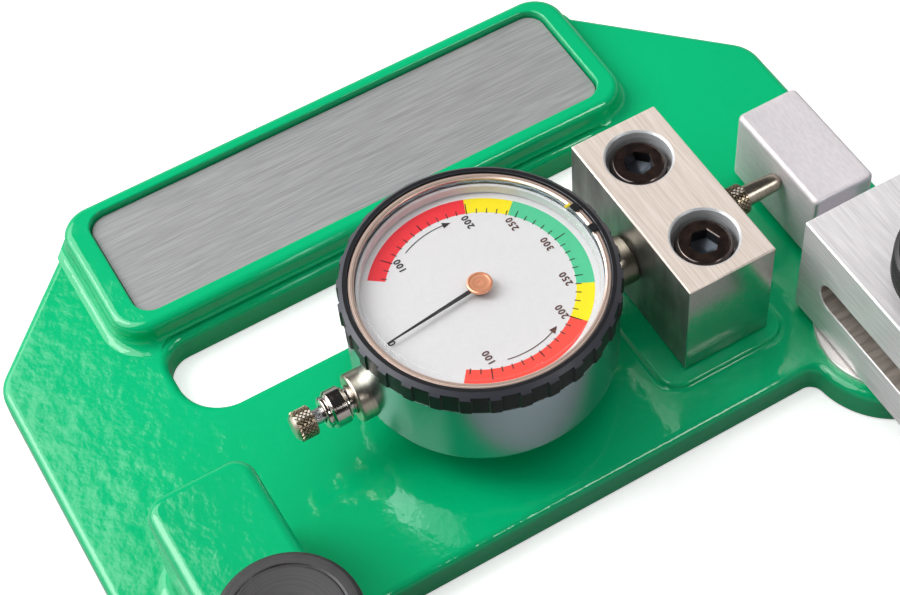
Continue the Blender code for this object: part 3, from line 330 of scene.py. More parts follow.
def drill(piece, x, y, radius, low, high, countersink=0, steps=64):
    """Cut an upright hole, with its upper edge broken if asked."""
    layers = [(0, low), (0, high)]
    if countersink > 0:
        layers = [(0, low), (0, high - countersink), (-countersink, high),
                  (-countersink, high + countersink)]
    cut(piece, stack(circle_band(x, y, radius, steps), layers))


# %% Finish a piece
merge_distance = 1e-7


def finish(piece, materials, body, stands_for=(), sharp_deg=32, pick=None):
    """Clean a piece, shade it, give it its finish and let it ride on its body.

    Where a piece has several materials, pick gives the number of the one for a face.
    """
    build = bmesh.new()
    build.from_mesh(piece.data)
    bmesh.ops.remove_doubles(build, verts=build.verts, dist=merge_distance)
    bmesh.ops.dissolve_degenerate(build, edges=build.edges, dist=merge_distance)
    build.to_mesh(piece.data)
    build.free()
    piece.data.shade_smooth()
    piece.data.set_sharp_from_angle(angle=math.radians(sharp_deg))
    piece.modifiers.new("even_shading", "WEIGHTED_NORMAL").keep_sharp = True
    bake(piece)
    piece.data.materials.clear()
    for material in materials:
        piece.data.materials.append(material)
    if pick:
        for face in piece.data.polygons:
            face.material_index = pick(face)
    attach(piece, body)
    if stands_for:
        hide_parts(*stands_for)
    print(piece.name, len(piece.data.polygons), "faces")
    return piece


# %% Measure the solids
def span_of(node, axis="z"):
    """The lowest and the highest value of a solid along one axis."""
    return [getattr(corner, axis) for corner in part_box(node)]


def middle_of(node, axis="z"):
    """The middle of a solid along one axis."""
    return sum(span_of(node, axis)) / 2


def radius_of(node, axis="x"):
    """Half the width of a round solid."""
    low, high = span_of(node, axis)
    return (high - low) / 2


print("dial:", round(radius_of("dial_face") * 2000, 1), "mm across")

# %% [markdown]
# ## Copies round an axis
# Knurling, grip ribs and dial marks all repeat round an axis. A Python loop could place them, but
# Geometry Nodes do it in one tree whose inputs can still be changed in the modifier panel: how many
# copies, in how many rows, and how far apart. Each second row is turned by half a step, which is
# what makes a diamond knurl. The tree ends by making the copies real and giving them a material.

# %% Node helpers
def feed(tree, value, socket):
    """Link a socket to the output of another node, or give it a plain value."""
    if isinstance(value, bpy.types.NodeSocket):
        tree.links.new(value, socket)
    else:
        socket.default_value = value


def math_node(tree, operation, *values, clamp=False):
    """A Math node, in a tree of geometry, of a material or of the world."""
    made = tree.nodes.new("ShaderNodeMath")
    made.operation = operation
    made.use_clamp = clamp
    for socket, value in zip(made.inputs, values):
        feed(tree, value, socket)
    return made.outputs[0]


# %% The tree of copies
copy_inputs = (("Copies", "NodeSocketInt", 12), ("Rows", "NodeSocketInt", 1),
               ("Start angle", "NodeSocketFloat", 0.0), ("Step angle", "NodeSocketFloat", 0.5),
               ("Rise", "NodeSocketFloat", 0.0), ("Material", "NodeSocketMaterial", None))
weld_distance = 2e-6


def build_copy_tree():
    """A node group that repeats its geometry about Z."""
    tree = bpy.data.node_groups.new("copies_round_axis", "GeometryNodeTree")
    tree.interface.new_socket("Geometry", in_out="INPUT", socket_type="NodeSocketGeometry")
    for label, kind, value in copy_inputs:
        socket = tree.interface.new_socket(label, in_out="INPUT", socket_type=kind)
        if value is not None:
            socket.default_value = value
    tree.interface.new_socket("Geometry", in_out="OUTPUT", socket_type="NodeSocketGeometry")

    def add(kind, **fed):
        """A node with values or links for its named inputs."""
        made = tree.nodes.new(kind)
        for label, value in fed.items():
            feed(tree, value, made.inputs[label])
        return made.outputs[0]

    given = tree.nodes.new("NodeGroupInput").outputs
    copies = given["Copies"]
    number = add("GeometryNodeInputIndex")
    row = math_node(tree, "FLOOR", math_node(tree, "DIVIDE", number, copies))
    column = math_node(tree, "SUBTRACT", number, math_node(tree, "MULTIPLY", row, copies))
    shift = math_node(tree, "MULTIPLY", math_node(tree, "MODULO", row, 2), 0.5)
    turn = math_node(tree, "MULTIPLY", math_node(tree, "ADD", column, shift),
                     given["Step angle"])
    angle = math_node(tree, "ADD", given["Start angle"], turn)
    points = add("GeometryNodePoints",
                 Count=math_node(tree, "MULTIPLY", copies, given["Rows"]),
                 Position=add("ShaderNodeCombineXYZ",
                              Z=math_node(tree, "MULTIPLY", row, given["Rise"])))
    spaced = add("GeometryNodeInstanceOnPoints", Points=points, Instance=given["Geometry"],
                 Rotation=add("FunctionNodeEulerToRotation",
                              Euler=add("ShaderNodeCombineXYZ", Z=angle)))
    real = add("GeometryNodeRealizeInstances", Geometry=spaced)
    welded = add("GeometryNodeMergeByDistance", Geometry=real, Distance=weld_distance)
    dressed = add("GeometryNodeSetMaterial", Geometry=welded, Material=given["Material"])
    feed(tree, dressed, tree.nodes.new("NodeGroupOutput").inputs[0])
    return tree


copy_tree = build_copy_tree()
print("inputs of the tree:", [label for label, kind, value in copy_inputs])


# %% Copies of a shape
def copies_round(name, build, material, copies, step=None, start=0.0, rows=1, rise=0.0,
                 place=None):
    """Repeat a small shape about Z and give back a plain mesh object."""
    piece = to_object(name, build)
    modifier = piece.modifiers.new("copies", "NODES")
    modifier.node_group = copy_tree
    values = {"Copies": copies, "Rows": rows, "Start angle": start,
              "Step angle": math.tau / copies if step is None else step, "Rise": rise,
              "Material": material}
    for socket in copy_tree.interface.items_tree:
        if socket.in_out == "INPUT" and socket.name in values:
            modifier[socket.identifier] = values[socket.name]
    bake(piece)
    if place is not None:
        piece.data.transform(place)
    return piece


def join(piece, other):
    """Put the mesh of another object into a piece; the other is then removed."""
    build = bmesh.new()
    build.from_mesh(piece.data)
    build.from_mesh(other.data)
    bpy.data.objects.remove(other, do_unlink=True)
    build.to_mesh(piece.data)
    build.free()


# %% [markdown]
# ## Finishes
# Every finish starts as a Principled shader. What makes it look real is small: a grain that runs
# the way the cutter ran, a roughness that isn't quite even, and a very low bump. Each pattern reads
# Object coordinates, which are metres here because every piece has its object at the origin, so a
# scale of 1000 gives features of about a millimetre.

# %% A plain finish
def shader_of(material):
    """The Principled shader of a finish."""
    return material.node_tree.nodes["Principled BSDF"]


def new_finish(name, colour, roughness, metallic=0.0, specular=0.5, coat=0.0,
               coat_roughness=0.05):
    """A Principled material with its plain values."""
    material = bpy.data.materials.new(name)
    material.use_nodes = True
    values = {"Base Color": (*colour, 1), "Roughness": roughness, "Metallic": metallic,
              "Specular IOR Level": specular, "Coat Weight": coat,
              "Coat Roughness": coat_roughness}
    for label, value in values.items():
        shader_of(material).inputs[label].default_value = value
    material.diffuse_color = (*colour, 1)
    return material


# %% Patterns
usual_span = (0.35, 0.65)


def object_spot(tree, scale, shift):
    """Object coordinates, scaled and shifted."""
    mapping = tree.nodes.new("ShaderNodeMapping")
    mapping.inputs["Scale"].default_value = scale
    mapping.inputs["Location"].default_value = shift
    spot = tree.nodes.new("ShaderNodeTexCoord").outputs["Object"]
    feed(tree, spot, mapping.inputs["Vector"])
    return mapping.outputs[0]


def noise(material, scale, detail=3.0, shift=(0, 0, 0)):
    """Noise with one scale, or stretched by a different one along each axis."""
    tree = material.node_tree
    scales = scale if isinstance(scale, tuple) else (scale, scale, scale)
    made = tree.nodes.new("ShaderNodeTexNoise")
    made.inputs["Scale"].default_value = 1.0
    made.inputs["Detail"].default_value = detail
    feed(tree, object_spot(tree, scales, shift), made.inputs["Vector"])
    return made.outputs["Fac"]


def ring_noise(material, centre, scale, detail=3.0):
    """Noise that changes only away from an upright axis, like the marks of a lathe."""
    tree = material.node_tree
    length = tree.nodes.new("ShaderNodeVectorMath")
    length.operation = "LENGTH"
    feed(tree, object_spot(tree, (1, 1, 0), (-centre[0], -centre[1], 0)), length.inputs[0])
    made = tree.nodes.new("ShaderNodeTexNoise")
    made.noise_dimensions = "1D"
    made.inputs["Scale"].default_value = scale
    made.inputs["Detail"].default_value = detail
    feed(tree, length.outputs["Value"], made.inputs["W"])
    return made.outputs["Fac"]


# %% What a pattern changes
def spread(material, fac, low, high, span=usual_span):
    """Map a noise value to a range of plain numbers."""
    made = material.node_tree.nodes.new("ShaderNodeMapRange")
    for label, value in zip(("From Min", "From Max", "To Min", "To Max"), (*span, low, high)):
        made.inputs[label].default_value = value
    feed(material.node_tree, fac, made.inputs["Value"])
    return made.outputs["Result"]


def mix_colours(tree, fac, first, second):
    """A Mix node between two colours."""
    mix = tree.nodes.new("ShaderNodeMix")
    mix.data_type = "RGBA"
    mix.inputs["A"].default_value = (*first, 1)
    mix.inputs["B"].default_value = (*second, 1)
    feed(tree, fac, mix.inputs["Factor"])
    return mix.outputs["Result"]


def tint(material, fac, first, second, span=usual_span):
    """Let the base colour wander between two colours."""
    mixed = mix_colours(material.node_tree, spread(material, fac, 0, 1, span), first, second)
    feed(material.node_tree, mixed, shader_of(material).inputs["Base Color"])


def roughen(material, fac, low, high):
    """Let the roughness wander."""
    feed(material.node_tree, spread(material, fac, low, high),
         shader_of(material).inputs["Roughness"])


def emboss(material, fac, depth, before=None):
    """Add a bump of a real depth in metres, on top of an earlier one if given."""
    tree = material.node_tree
    bump = tree.nodes.new("ShaderNodeBump")
    bump.inputs["Strength"].default_value = 1.0
    bump.inputs["Distance"].default_value = depth
    feed(tree, fac, bump.inputs["Height"])
    if before is not None:
        feed(tree, before, bump.inputs["Normal"])
    feed(tree, bump.outputs[0], shader_of(material).inputs["Normal"])
    return bump.outputs[0]


# %% One grain for colour and relief
def grained(made, grain, first, second, relief=0.0, span=usual_span):
    """Let colour and relief follow the same grain."""
    tint(made, grain, first, second, span)
    if relief > 0:
        emboss(made, grain, relief)
    return made


# %% [markdown]
# ### Green enamel
# The casting is stove enamelled: a thick glossy coat that flowed a little before it set. That
# leaves orange peel, waves of one or two millimetres that are only seen where a lamp is mirrored.
# A clear coat over a softer base gives the same depth, and three sizes of bump give the peel. The
# face of the lobe is bare: it was faced on a lathe, so its grain runs in rings about the pivot.

# %% Enamel and bare casting
pivot = (0.0775, -0.0347)

enamel = new_finish("green_enamel", (0.0, 0.52, 0.19), 0.4, specular=0.04, coat=0.8,
                    coat_roughness=0.07)
tint(enamel, noise(enamel, 14, 2.0), (0.0, 0.47, 0.175), (0.0, 0.51, 0.198))
swell_scale, wave_scale, grain_scale = 130, 420, 1500
enamel_bump = emboss(enamel, noise(enamel, swell_scale, 1.0, (2, 5, 1)), 1.4e-4)
enamel_bump = emboss(enamel, noise(enamel, wave_scale, 2.0), 7e-5, enamel_bump)
enamel_bump = emboss(enamel, noise(enamel, grain_scale, 2.0), 8e-6, enamel_bump)
feed(enamel.node_tree, enamel_bump, shader_of(enamel).inputs["Coat Normal"])

faced_iron = new_finish("faced_metal", (0.78, 0.72, 0.70), 0.34, metallic=0.6)
grained(faced_iron, ring_noise(faced_iron, pivot, 5000), (0.70, 0.66, 0.64), (0.86, 0.82, 0.80),
        4e-6)
print("waves on the enamel:", round(1000 / wave_scale, 1), "mm")

# %% [markdown]
# ### Brushed and milled metal
# A brushed plate has scratches that all run one way, so its noise is stretched hard along that way.
# The milled aluminium gets the same trick with a coarser stroke. The cast arm was tumbled instead,
# which leaves a soft even satin. A block cut from bar doesn't look the same all round: its top is
# milled, its ends are sawn and its holes are bored, so each of these has a finish of its own.

# %% The plate's metal
plate_metal = new_finish("brushed_plate", (0.4, 0.4, 0.4), 0.36, metallic=0.05)
grained(plate_metal, noise(plate_metal, (110, 4200, 4200), 4.0), (0.265, 0.265, 0.27),
        (0.365, 0.365, 0.365), 3e-6)
roughen(plate_metal, noise(plate_metal, (60, 260, 260), 3.0, (3, 1, 0)), 0.42, 0.5)

# %% The block's metals
milled = new_finish("milled_aluminium", (0.58, 0.55, 0.52), 0.15, metallic=1.0)
grained(milled, noise(milled, (2400, 30, 2600), 3.0), (0.42, 0.41, 0.39), (0.62, 0.6, 0.57),
        3e-6, span=(0.2, 0.8))
roughen(milled, noise(milled, (900, 20, 1500), 2.0, (5, 0, 1)), 0.14, 0.2)

milled_top = new_finish("milled_top", (0.8, 0.72, 0.66), 0.3, metallic=0.15)
grained(milled_top, noise(milled_top, (3600, 90, 1500), 4.0), (0.72, 0.61, 0.53),
        (0.88, 0.77, 0.69), 4e-6)
roughen(milled_top, noise(milled_top, (700, 40, 500), 3.0, (5, 0, 1)), 0.28, 0.44)

# The sawn ends have a rougher grain of their own, and a darker tone that paints the shade on the
# block's end.
sawn_side_painted_shade = new_finish("sawn_side_painted_shade", (0.28, 0.27, 0.25), 0.36, metallic=0.6)
grained(sawn_side_painted_shade, noise(sawn_side_painted_shade, (2600, 200, 90), 3.0, (4, 1, 0)), (0.2, 0.195, 0.18),
        (0.34, 0.33, 0.31), 4e-6)
roughen(sawn_side_painted_shade, noise(sawn_side_painted_shade, (700, 700, 60), 2.0), 0.3, 0.42)

bored_wall = new_finish("bored_wall", (0.75, 0.77, 0.79), 0.3, metallic=0.25)
grained(bored_wall, noise(bored_wall, (90, 90, 3200), 3.0, (0, 2, 4)), (0.66, 0.68, 0.70),
        (0.86, 0.88, 0.90))

# %% The lever's metals
jaw_metal = new_finish("ground_aluminium", (0.72, 0.71, 0.72), 0.38, metallic=0.2)
grained(jaw_metal, noise(jaw_metal, (3200, 120, 2400), 4.0, (1, 2, 0)), (0.76, 0.735, 0.745),
        (0.93, 0.90, 0.91), 4e-6)
roughen(jaw_metal, noise(jaw_metal, (900, 60, 600), 3.0, (2, 0, 3)), 0.3, 0.46)

# The inside of the blade slot is rougher, and its darker brown tone paints the shade inside the
# slot.
slot_painted_shade = new_finish("sawn_slot_painted_shade", (0.34, 0.29, 0.25), 0.4, metallic=0.5)
grained(slot_painted_shade, noise(slot_painted_shade, (140, 900, 900), 3.0), (0.36, 0.32, 0.28),
        (0.60, 0.54, 0.48))

arm_metal = new_finish("tumbled_aluminium", (0.70, 0.66, 0.68), 0.5, metallic=0.2)
grained(arm_metal, noise(arm_metal, (1500, 500, 1500), 3.0), (0.66, 0.62, 0.645),
        (0.73, 0.685, 0.71), 5e-6)
roughen(arm_metal, noise(arm_metal, (200, 90, 200), 2.0), 0.5, 0.6)

# The arm's front end gets a darker mirror finish, which paints the shade that falls on it beside
# the jaw.
arm_front_shade = new_finish("arm_end_painted_shade", (0.56, 0.56, 0.6), 0.34, metallic=1.0)
print("flat metals:", plate_metal.name, milled.name, jaw_metal.name, arm_metal.name)

# %% [markdown]
# ### Turned metal
# A lathe leaves fine rings. On a piece that was turned about the stem they run round the X axis, so
# their noise changes only along X. On a knurl the highlight on the crests and the shade in the
# grooves are too small for a noise, so each is painted with a finish of its own. The gauge's case
# is sprayed silver and stays smooth.

# %% The stem's metals
nickel = new_finish("nickel", (0.5, 0.44, 0.36), 0.3, metallic=1.0)
grained(nickel, noise(nickel, (5200, 30, 30), 3.0), (0.42, 0.37, 0.30), (0.58, 0.52, 0.43), 3e-6)
# Painted light on the knurls: a bright finish for the highlight on faces that look up, a dark one
# for the shade on the rest.
knurl_highlight = new_finish("knurl_painted_highlight", (0.86, 0.79, 0.68), 0.34, metallic=0.3)
groove = new_finish("knurl_painted_shade", (0.36, 0.3, 0.22), 0.36, metallic=1.0)
chrome = new_finish("chrome", (0.58, 0.53, 0.49), 0.1, metallic=1.0)
roughen(chrome, noise(chrome, (1500, 200, 200), 2.0), 0.08, 0.15)

# %% Steel, silver and the black screws
steel = new_finish("steel", (0.50, 0.50, 0.51), 0.26, metallic=1.0)
steel_lines = noise(steel, 2600, 3.0)
tint(steel, steel_lines, (0.45, 0.45, 0.46), (0.56, 0.56, 0.57))
roughen(steel, steel_lines, 0.2, 0.34)

silver = new_finish("silver_case", (0.38, 0.42, 0.46), 0.27, metallic=1.0)
tint(silver, noise(silver, 5000, 2.0), (0.33, 0.41, 0.45), (0.38, 0.47, 0.51))
roughen(silver, noise(silver, 60, 2.0), 0.2, 0.26)

black_oxide = new_finish("black_steel", (0.03, 0.02, 0.018), 0.2, metallic=0.7, coat=1.0)
tint(black_oxide, noise(black_oxide, 500, 2.0), (0.03, 0.02, 0.018), (0.075, 0.046, 0.036))
roughen(black_oxide, noise(black_oxide, 1500, 2.0), 0.16, 0.24)
# The walls of the hex socket are painted near black: this is painted shade in the recess.
socket_painted_shade = new_finish("socket_painted_shade", (0.006, 0.005, 0.006), 0.3)
socket_floor = new_finish("socket_floor", (0.05, 0.06, 0.075), 0.3, metallic=0.6)

# %% Copper and its alloys
brass = new_finish("brass", (0.62, 0.44, 0.17), 0.3, metallic=1.0)
brass_lines = noise(brass, 2000, 3.0)
tint(brass, brass_lines, (0.56, 0.39, 0.14), (0.68, 0.49, 0.2))
roughen(brass, brass_lines, 0.24, 0.38)

bronze = new_finish("bronze", (0.34, 0.20, 0.10), 0.42, metallic=1.0)
tint(bronze, noise(bronze, 3000, 2.0), (0.28, 0.16, 0.08), (0.40, 0.25, 0.13))

copper = new_finish("copper", (0.74, 0.54, 0.45), 0.26, metallic=0.6)
copper_lines = ring_noise(copper, (0, 0), 4200)
tint(copper, copper_lines, (0.66, 0.48, 0.40), (0.82, 0.64, 0.55))
roughen(copper, copper_lines, 0.2, 0.34)

hub_copper = new_finish("hub_copper", (0.85, 0.36, 0.2), 0.3, metallic=0.35)
tint(hub_copper, ring_noise(hub_copper, (0, 0), 2600), (0.76, 0.30, 0.16), (0.92, 0.44, 0.27))
print("turned metals:", nickel.name, chrome.name, steel.name, brass.name, copper.name)

# %% [markdown]
# ### Plastics, inks and the crystal
# The bezel is a moulded plastic with a faint grain. Where its rim slopes it is painted a little
# paler, as the sheen that the light leaves there.
# The knobs were turned, so their grain runs in rings. Ink is thinner and flatter than paint. The
# crystal is nearly invisible: what is seen of it is the light that it mirrors, little from straight
# above and more towards a grazing view. Layer Weight's Facing gives that for both of its faces
# alike, where a Fresnel node would turn the lower one into a full mirror, because it takes the ray
# to be inside the glass.

# %% Plastics
plastic_grain = 3500
grain_depth = 4e-6

black_plastic = new_finish("black_plastic", (0.016, 0.016, 0.018), 0.36, specular=0.15)
roughen(black_plastic, noise(black_plastic, 1800, 2.0), 0.34, 0.46)
# The rim's slopes get a paler copy of the plastic: a painted sheen of the light from above.
rim_painted_sheen = new_finish("rim_painted_sheen", (0.047, 0.048, 0.062), 0.4)
for made in (black_plastic, rim_painted_sheen):
    emboss(made, noise(made, plastic_grain, 2.0), grain_depth)


def knob_finish(name, centre):
    """Dark turned plastic with rings about a knob's own axis."""
    made = new_finish(name, (0.055, 0.05, 0.052), 0.42)
    grained(made, ring_noise(made, centre, 3300), (0.018, 0.017, 0.018), (0.042, 0.039, 0.041),
            8e-6)
    roughen(made, noise(made, 500, 3.0), 0.34, 0.52)
    return made


# %% Inks
thin_cover = 0.97


def ink_finish(name, colour):
    """Printing ink with a slightly uneven cover."""
    made = new_finish(name, colour, 0.5)
    darker = tuple(value * thin_cover for value in colour)
    tint(made, noise(made, 1200, 2.0), darker, colour)
    return made


dial_white = ink_finish("dial_white", (0.77, 0.765, 0.775))
ink_red = ink_finish("ink_red", (0.92, 0.027, 0.042))
ink_orange_red = ink_finish("ink_orange_red", (0.95, 0.075, 0.05))
ink_yellow = ink_finish("ink_yellow", (1.0, 0.82, 0.0))
ink_green = ink_finish("ink_green", (0.08, 0.6, 0.31))
ink_black = ink_finish("ink_black", (0.02, 0.018, 0.018))
ink_brown = ink_finish("ink_brown", (0.10, 0.035, 0.025))
marker_yellow = ink_finish("marker_yellow", (0.80, 0.62, 0.03))
pointer_black = ink_finish("pointer_black", (0.018, 0.018, 0.02))

# %% Crystal
grazing_power = 4.0
grazing_veil = 0.6
straight_veil = 0.02

crystal_glass = new_finish("clear_crystal", (0.97, 0.98, 0.98), 0.03, metallic=1.0)
gloss = crystal_glass.node_tree.nodes.new("ShaderNodeLayerWeight")
gloss.inputs["Blend"].default_value = 0.5
grazing = math_node(crystal_glass.node_tree, "POWER", gloss.outputs["Facing"], grazing_power)
veil = math_node(crystal_glass.node_tree, "MULTIPLY_ADD", grazing, grazing_veil, straight_veil)
feed(crystal_glass.node_tree, veil, shader_of(crystal_glass).inputs["Alpha"])
print("finishes:", len(bpy.data.materials))

# %% [markdown]
# ## The cast frame
# One casting carries everything: a flat plate, a raised boss with a steel plate let into it, a long
# slot for the fingers, a pad for the clamp block, a post for the left blade clamp and a round lobe
# for the lever's pivot. Each of these is stacked from its own outline, with its own rounded edges,
# and then joined. The lobe runs into the plate through a small hollow corner, which is one more
# disc in the band.

# %% Sizes of the plate
plate_top = 0.0075
plate_left = -0.0895
plate_right = 0.0978
plate_back = 0.0823
plate_front = -0.0345
plate_left_cut = 0.0303
plate_right_cut = 0.0365
plate_corner = 0.009
plate_round = 0.002
plate_under_round = 0.0006
foot_margin = 0.006
foot_taper = 0.0105
lobe_radius = 0.0187
lobe_hollow = 0.003
post_low, post_high = Vector((-0.078, -0.0625)), Vector((-0.0558, -0.0071))
print("plate:", round((plate_right - plate_left) * 1000, 1), "mm wide")


# %% Outline of the plate
def touching_disc(first, second, radius):
    """The disc that touches two others from outside, on the right of the way between them."""
    ax, ay, ar = first
    bx, by, br = second
    span = math.hypot(bx - ax, by - ay)
    ux, uy = (bx - ax) / span, (by - ay) / span
    along = ((ar + radius) ** 2 - (br + radius) ** 2 + span ** 2) / (2 * span)
    aside = math.sqrt((ar + radius) ** 2 - along ** 2)
    return ax + along * ux + aside * uy, ay + along * uy - aside * ux, -radius


def plate_discs():
    """The discs inside the corners of the plate, its post foot and its lobe."""
    foot_left = post_low.x - foot_margin
    foot_right = post_high.x + foot_margin
    foot_front = post_low.y
    discs = corner_discs([
        (plate_right, plate_front, plate_corner),
        (plate_right, plate_back - plate_right_cut, plate_corner),
        (plate_right - plate_right_cut, plate_back, plate_corner),
        (plate_left + plate_left_cut, plate_back, plate_corner),
        (plate_left, plate_back - plate_left_cut, plate_corner),
        (plate_left, plate_front + foot_taper, plate_corner),
        (foot_left, plate_front, plate_corner),
        (foot_left, foot_front, foot_margin),
        (foot_right, foot_front, foot_margin),
        (foot_right, plate_front, plate_corner)])
    lobe = (*pivot, lobe_radius)
    hollow_y = plate_front - lobe_hollow
    reach = math.sqrt((lobe_radius + lobe_hollow) ** 2 - (hollow_y - pivot[1]) ** 2)
    hollow = (pivot[0] - reach, hollow_y, -lobe_hollow)
    return discs + [hollow, lobe, touching_disc(lobe, discs[0], lobe_hollow)]


plate_band = wrap(plate_discs())
print("outline points:", len(plate_band))

# %% Sizes of what stands on the plate
block_low, block_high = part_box("clamp_block")
boss_left, boss_right, boss_front, boss_back = -0.0625, 0.0643, 0.044, 0.0819
boss_corner = 0.0075
boss_top = 0.0135
boss_round = 0.0021
boss_flare = 0.0028
post_corner = 0.0045
post_round = 0.0024
post_flare = 0.003
clamp_top = 0.0368
pad_left, pad_right, pad_front = 0.0058, 0.0036, 0.003
pad_corner = 0.005
pad_round = 0.0007
pad_flare_height = 0.00055
pad_flare_reach = 0.0012
machined_top = 0.0088
lobe_face_radius = 0.0161
sunk = 0.001
just_inside = 0.00001
print("boss:", round((boss_right - boss_left) * 1000, 1), "mm long")

# %% Stack and join the casting
casting = to_object("frame_enamelled", stack(plate_band, round_under(0, plate_under_round)
                                             + round_over(plate_top, plate_round)))
boss_band = wrap(box_discs(boss_left, boss_right, boss_front, boss_back, boss_corner))
post_band = box_band(post_low, post_high, post_corner)
pad_band = wrap(box_discs(block_low.x - pad_left, block_high.x + pad_right,
                          block_low.y - pad_front, block_high.y + plate_round, pad_corner))
raised = ((boss_band, flare(plate_top, boss_flare, boss_flare, sunk)
           + round_over(boss_top, boss_round)),
          (post_band, flare(plate_top, post_flare, post_flare, sunk)
           + round_over(clamp_top, post_round)),
          (pad_band, flare(plate_top, pad_flare_height, pad_flare_reach, sunk)
           + round_over(machined_top, pad_round, 4)))
for band, layers in raised:
    shape = to_object("raised", stack(band, layers))
    above_plate = stack(plate_band, [(just_inside, plate_round), (just_inside, clamp_top * 2)])
    combine(shape, to_object("above_plate", above_plate), "INTERSECT")
    combine(casting, shape, "UNION")
lobe_face = stack(circle_band(*pivot, lobe_face_radius, 128),
                  [(0, plate_round), (0, machined_top - fine_edge), (fine_edge, machined_top)])
combine(casting, to_object("lobe_face", lobe_face), "UNION")
print("casting joined:", len(casting.data.polygons), "faces")

# %% [markdown]
# The hollows are cut last. A cutter that widens at its mouth leaves a rounded edge behind, so the
# paint line round the grip slot and the recess comes out soft without a bevel.

# %% Grip slot and recess
overrun = 0.002
grip_left, grip_right, grip_front, grip_back = -0.0564, 0.058, 0.022, 0.042
grip_front_corner = 0.0099
grip_back_corner = 0.006
rim_left, rim_right, rim_front, rim_back = 0.0059, 0.005, 0.004, 0.0035
recess_corner = 0.0045
recess_round = 0.0005

grip_band = wrap(corner_discs([(grip_right, grip_front, grip_front_corner),
                               (grip_right, grip_back, grip_back_corner),
                               (grip_left, grip_back, grip_back_corner),
                               (grip_left, grip_front, grip_front_corner)]))
cut(casting, stack(grip_band, [(-plate_under_round, -overrun)]
                   + widening(round_under(0, plate_under_round))
                   + widening(round_over(plate_top, plate_round))
                   + [(-plate_round, plate_top + overrun / 2)]))

nameplate_low, nameplate_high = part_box("nameplate")
recess_band = wrap(box_discs(boss_left + rim_left, boss_right - rim_right,
                             boss_front + rim_front, boss_back - rim_back, recess_corner))
cut(casting, stack(recess_band, [(0, nameplate_low.z - gap)]
                   + widening(round_over(boss_top, recess_round, 3))
                   + [(-recess_round, boss_top + overrun)]))
print("grip slot:", round((grip_right - grip_left) * 1000, 1), "mm long")

# %% Blade slot
blade_floor = 0.0187
blade_ceiling = 0.0255
blade_end = -0.0272
nearly_half_round = 0.999
on_its_side = Matrix(((0, 0, 1, 0), (1, 0, 0, 0), (0, 1, 0, 0), (0, 0, 0, 1)))


def cut_blade_slot(piece, low, high):
    """Cut the round-ended slot for the blade between two corners, and break its edges."""
    radius = (blade_ceiling - blade_floor) / 2 * nearly_half_round
    front = low.y - blade_ceiling
    band = wrap(box_discs(front, blade_end, blade_floor, blade_ceiling, radius))
    beyond = fine_edge * 5
    mouth = -(fine_edge + beyond)
    cut(piece, stack(band, [(mouth, low.x - beyond), (0, low.x + fine_edge),
                            (0, high.x - fine_edge), (mouth, high.x + beyond)]), on_its_side)


cut_blade_slot(casting, post_low, post_high)
print("blade slot:", round((blade_ceiling - blade_floor) * 1000, 1), "mm high")

# %% Holes in the casting
left_clamp = (-0.0662, -0.0487)
screw_x = middle_of("clamp_block", "x")
screw_y = middle_of("block_screw_back", "y")
clamp_bore = 0.0042
bolt_hole = 0.0033
lock_screw_hole = 0.0032
pivot_hole = 0.0062
washer_recess = 0.0083
washer_depth = 0.0027

drill(casting, *left_clamp, clamp_bore, blade_ceiling - sunk, clamp_top, filed_edge, 48)
for y in (-screw_y, screw_y):
    drill(casting, screw_x, y, bolt_hole, -overrun, machined_top + overrun, steps=48)
drill(casting, *pivot, pivot_hole, -overrun, machined_top + overrun)
drill(casting, *pivot, washer_recess, -overrun, washer_depth)
drill(casting, screw_x, 0, lock_screw_hole, -overrun, machined_top + overrun, steps=48)


def on_lobe_face(face):
    """1 on the bare face of the lobe and 0 on the enamel."""
    near = math.hypot(face.center.x - pivot[0], face.center.y - pivot[1])
    return int(near < lobe_face_radius + fine_edge and face.center.z > plate_top + hair_edge)


finish(casting, [enamel, faced_iron], "frame", ["frame_casting"],
       pick=on_lobe_face)

# %% [markdown]
# ## The plate in the boss
# A thin plate of brushed steel lies in the recess, a little below the rim. Its edge has a hair of
# chamfer, which catches the light as a thin line.

# %% Plate
plate_edge = 0.00012
nameplate_corner = 0.0042
nameplate = to_object("brushed_nameplate", stack(
    box_band(nameplate_low, nameplate_high, nameplate_corner),
    [(0, nameplate_low.z), (0, nameplate_high.z - plate_edge), (plate_edge, nameplate_high.z)]))
finish(nameplate, [plate_metal], "frame", ["nameplate"])

# %% [markdown]
# ## The clamp block and its screws
# The block is sawn and milled from bar, with edges broken by a file. Two socket screws sit in deep
# counterbores. A third, smaller screw under it grips the stem, whose axis runs through the block.
# Screw heads are knurled on their sides, which the tree of copies makes from one small ridge.

# %% The stem's axis
stem_height = middle_of("stem")
along_stem = Matrix.Translation((0, 0, stem_height)) @ Matrix.Rotation(math.pi / 2, 4, "Y")
print("height of the stem's axis:", round(stem_height * 1000, 2), "mm")

# %% Block
head_top = span_of("block_screw_back")[1]
head_height = 0.006
head_foot = head_top - head_height
shank_radius = 0.003
counterbore_radius = 0.0069
stem_bore = 0.0043
face_on, leaning_up = 0.9, 0.3

block = to_object("milled_block", stack(box_band(block_low, block_high, filed_edge, 32),
                                        break_edges(block_low.z, block_high.z, filed_edge)))
for y in (-screw_y, screw_y):
    drill(block, screw_x, y, shank_radius + gap, block_low.z - overrun, block_high.z, steps=48)
    drill(block, screw_x, y, counterbore_radius, head_foot - gap, block_high.z, soft_edge, 96)
cut(block, prism(circle_band(0, 0, stem_bore, 64), block_low.x - overrun,
                 block_high.x + overrun), along_stem)


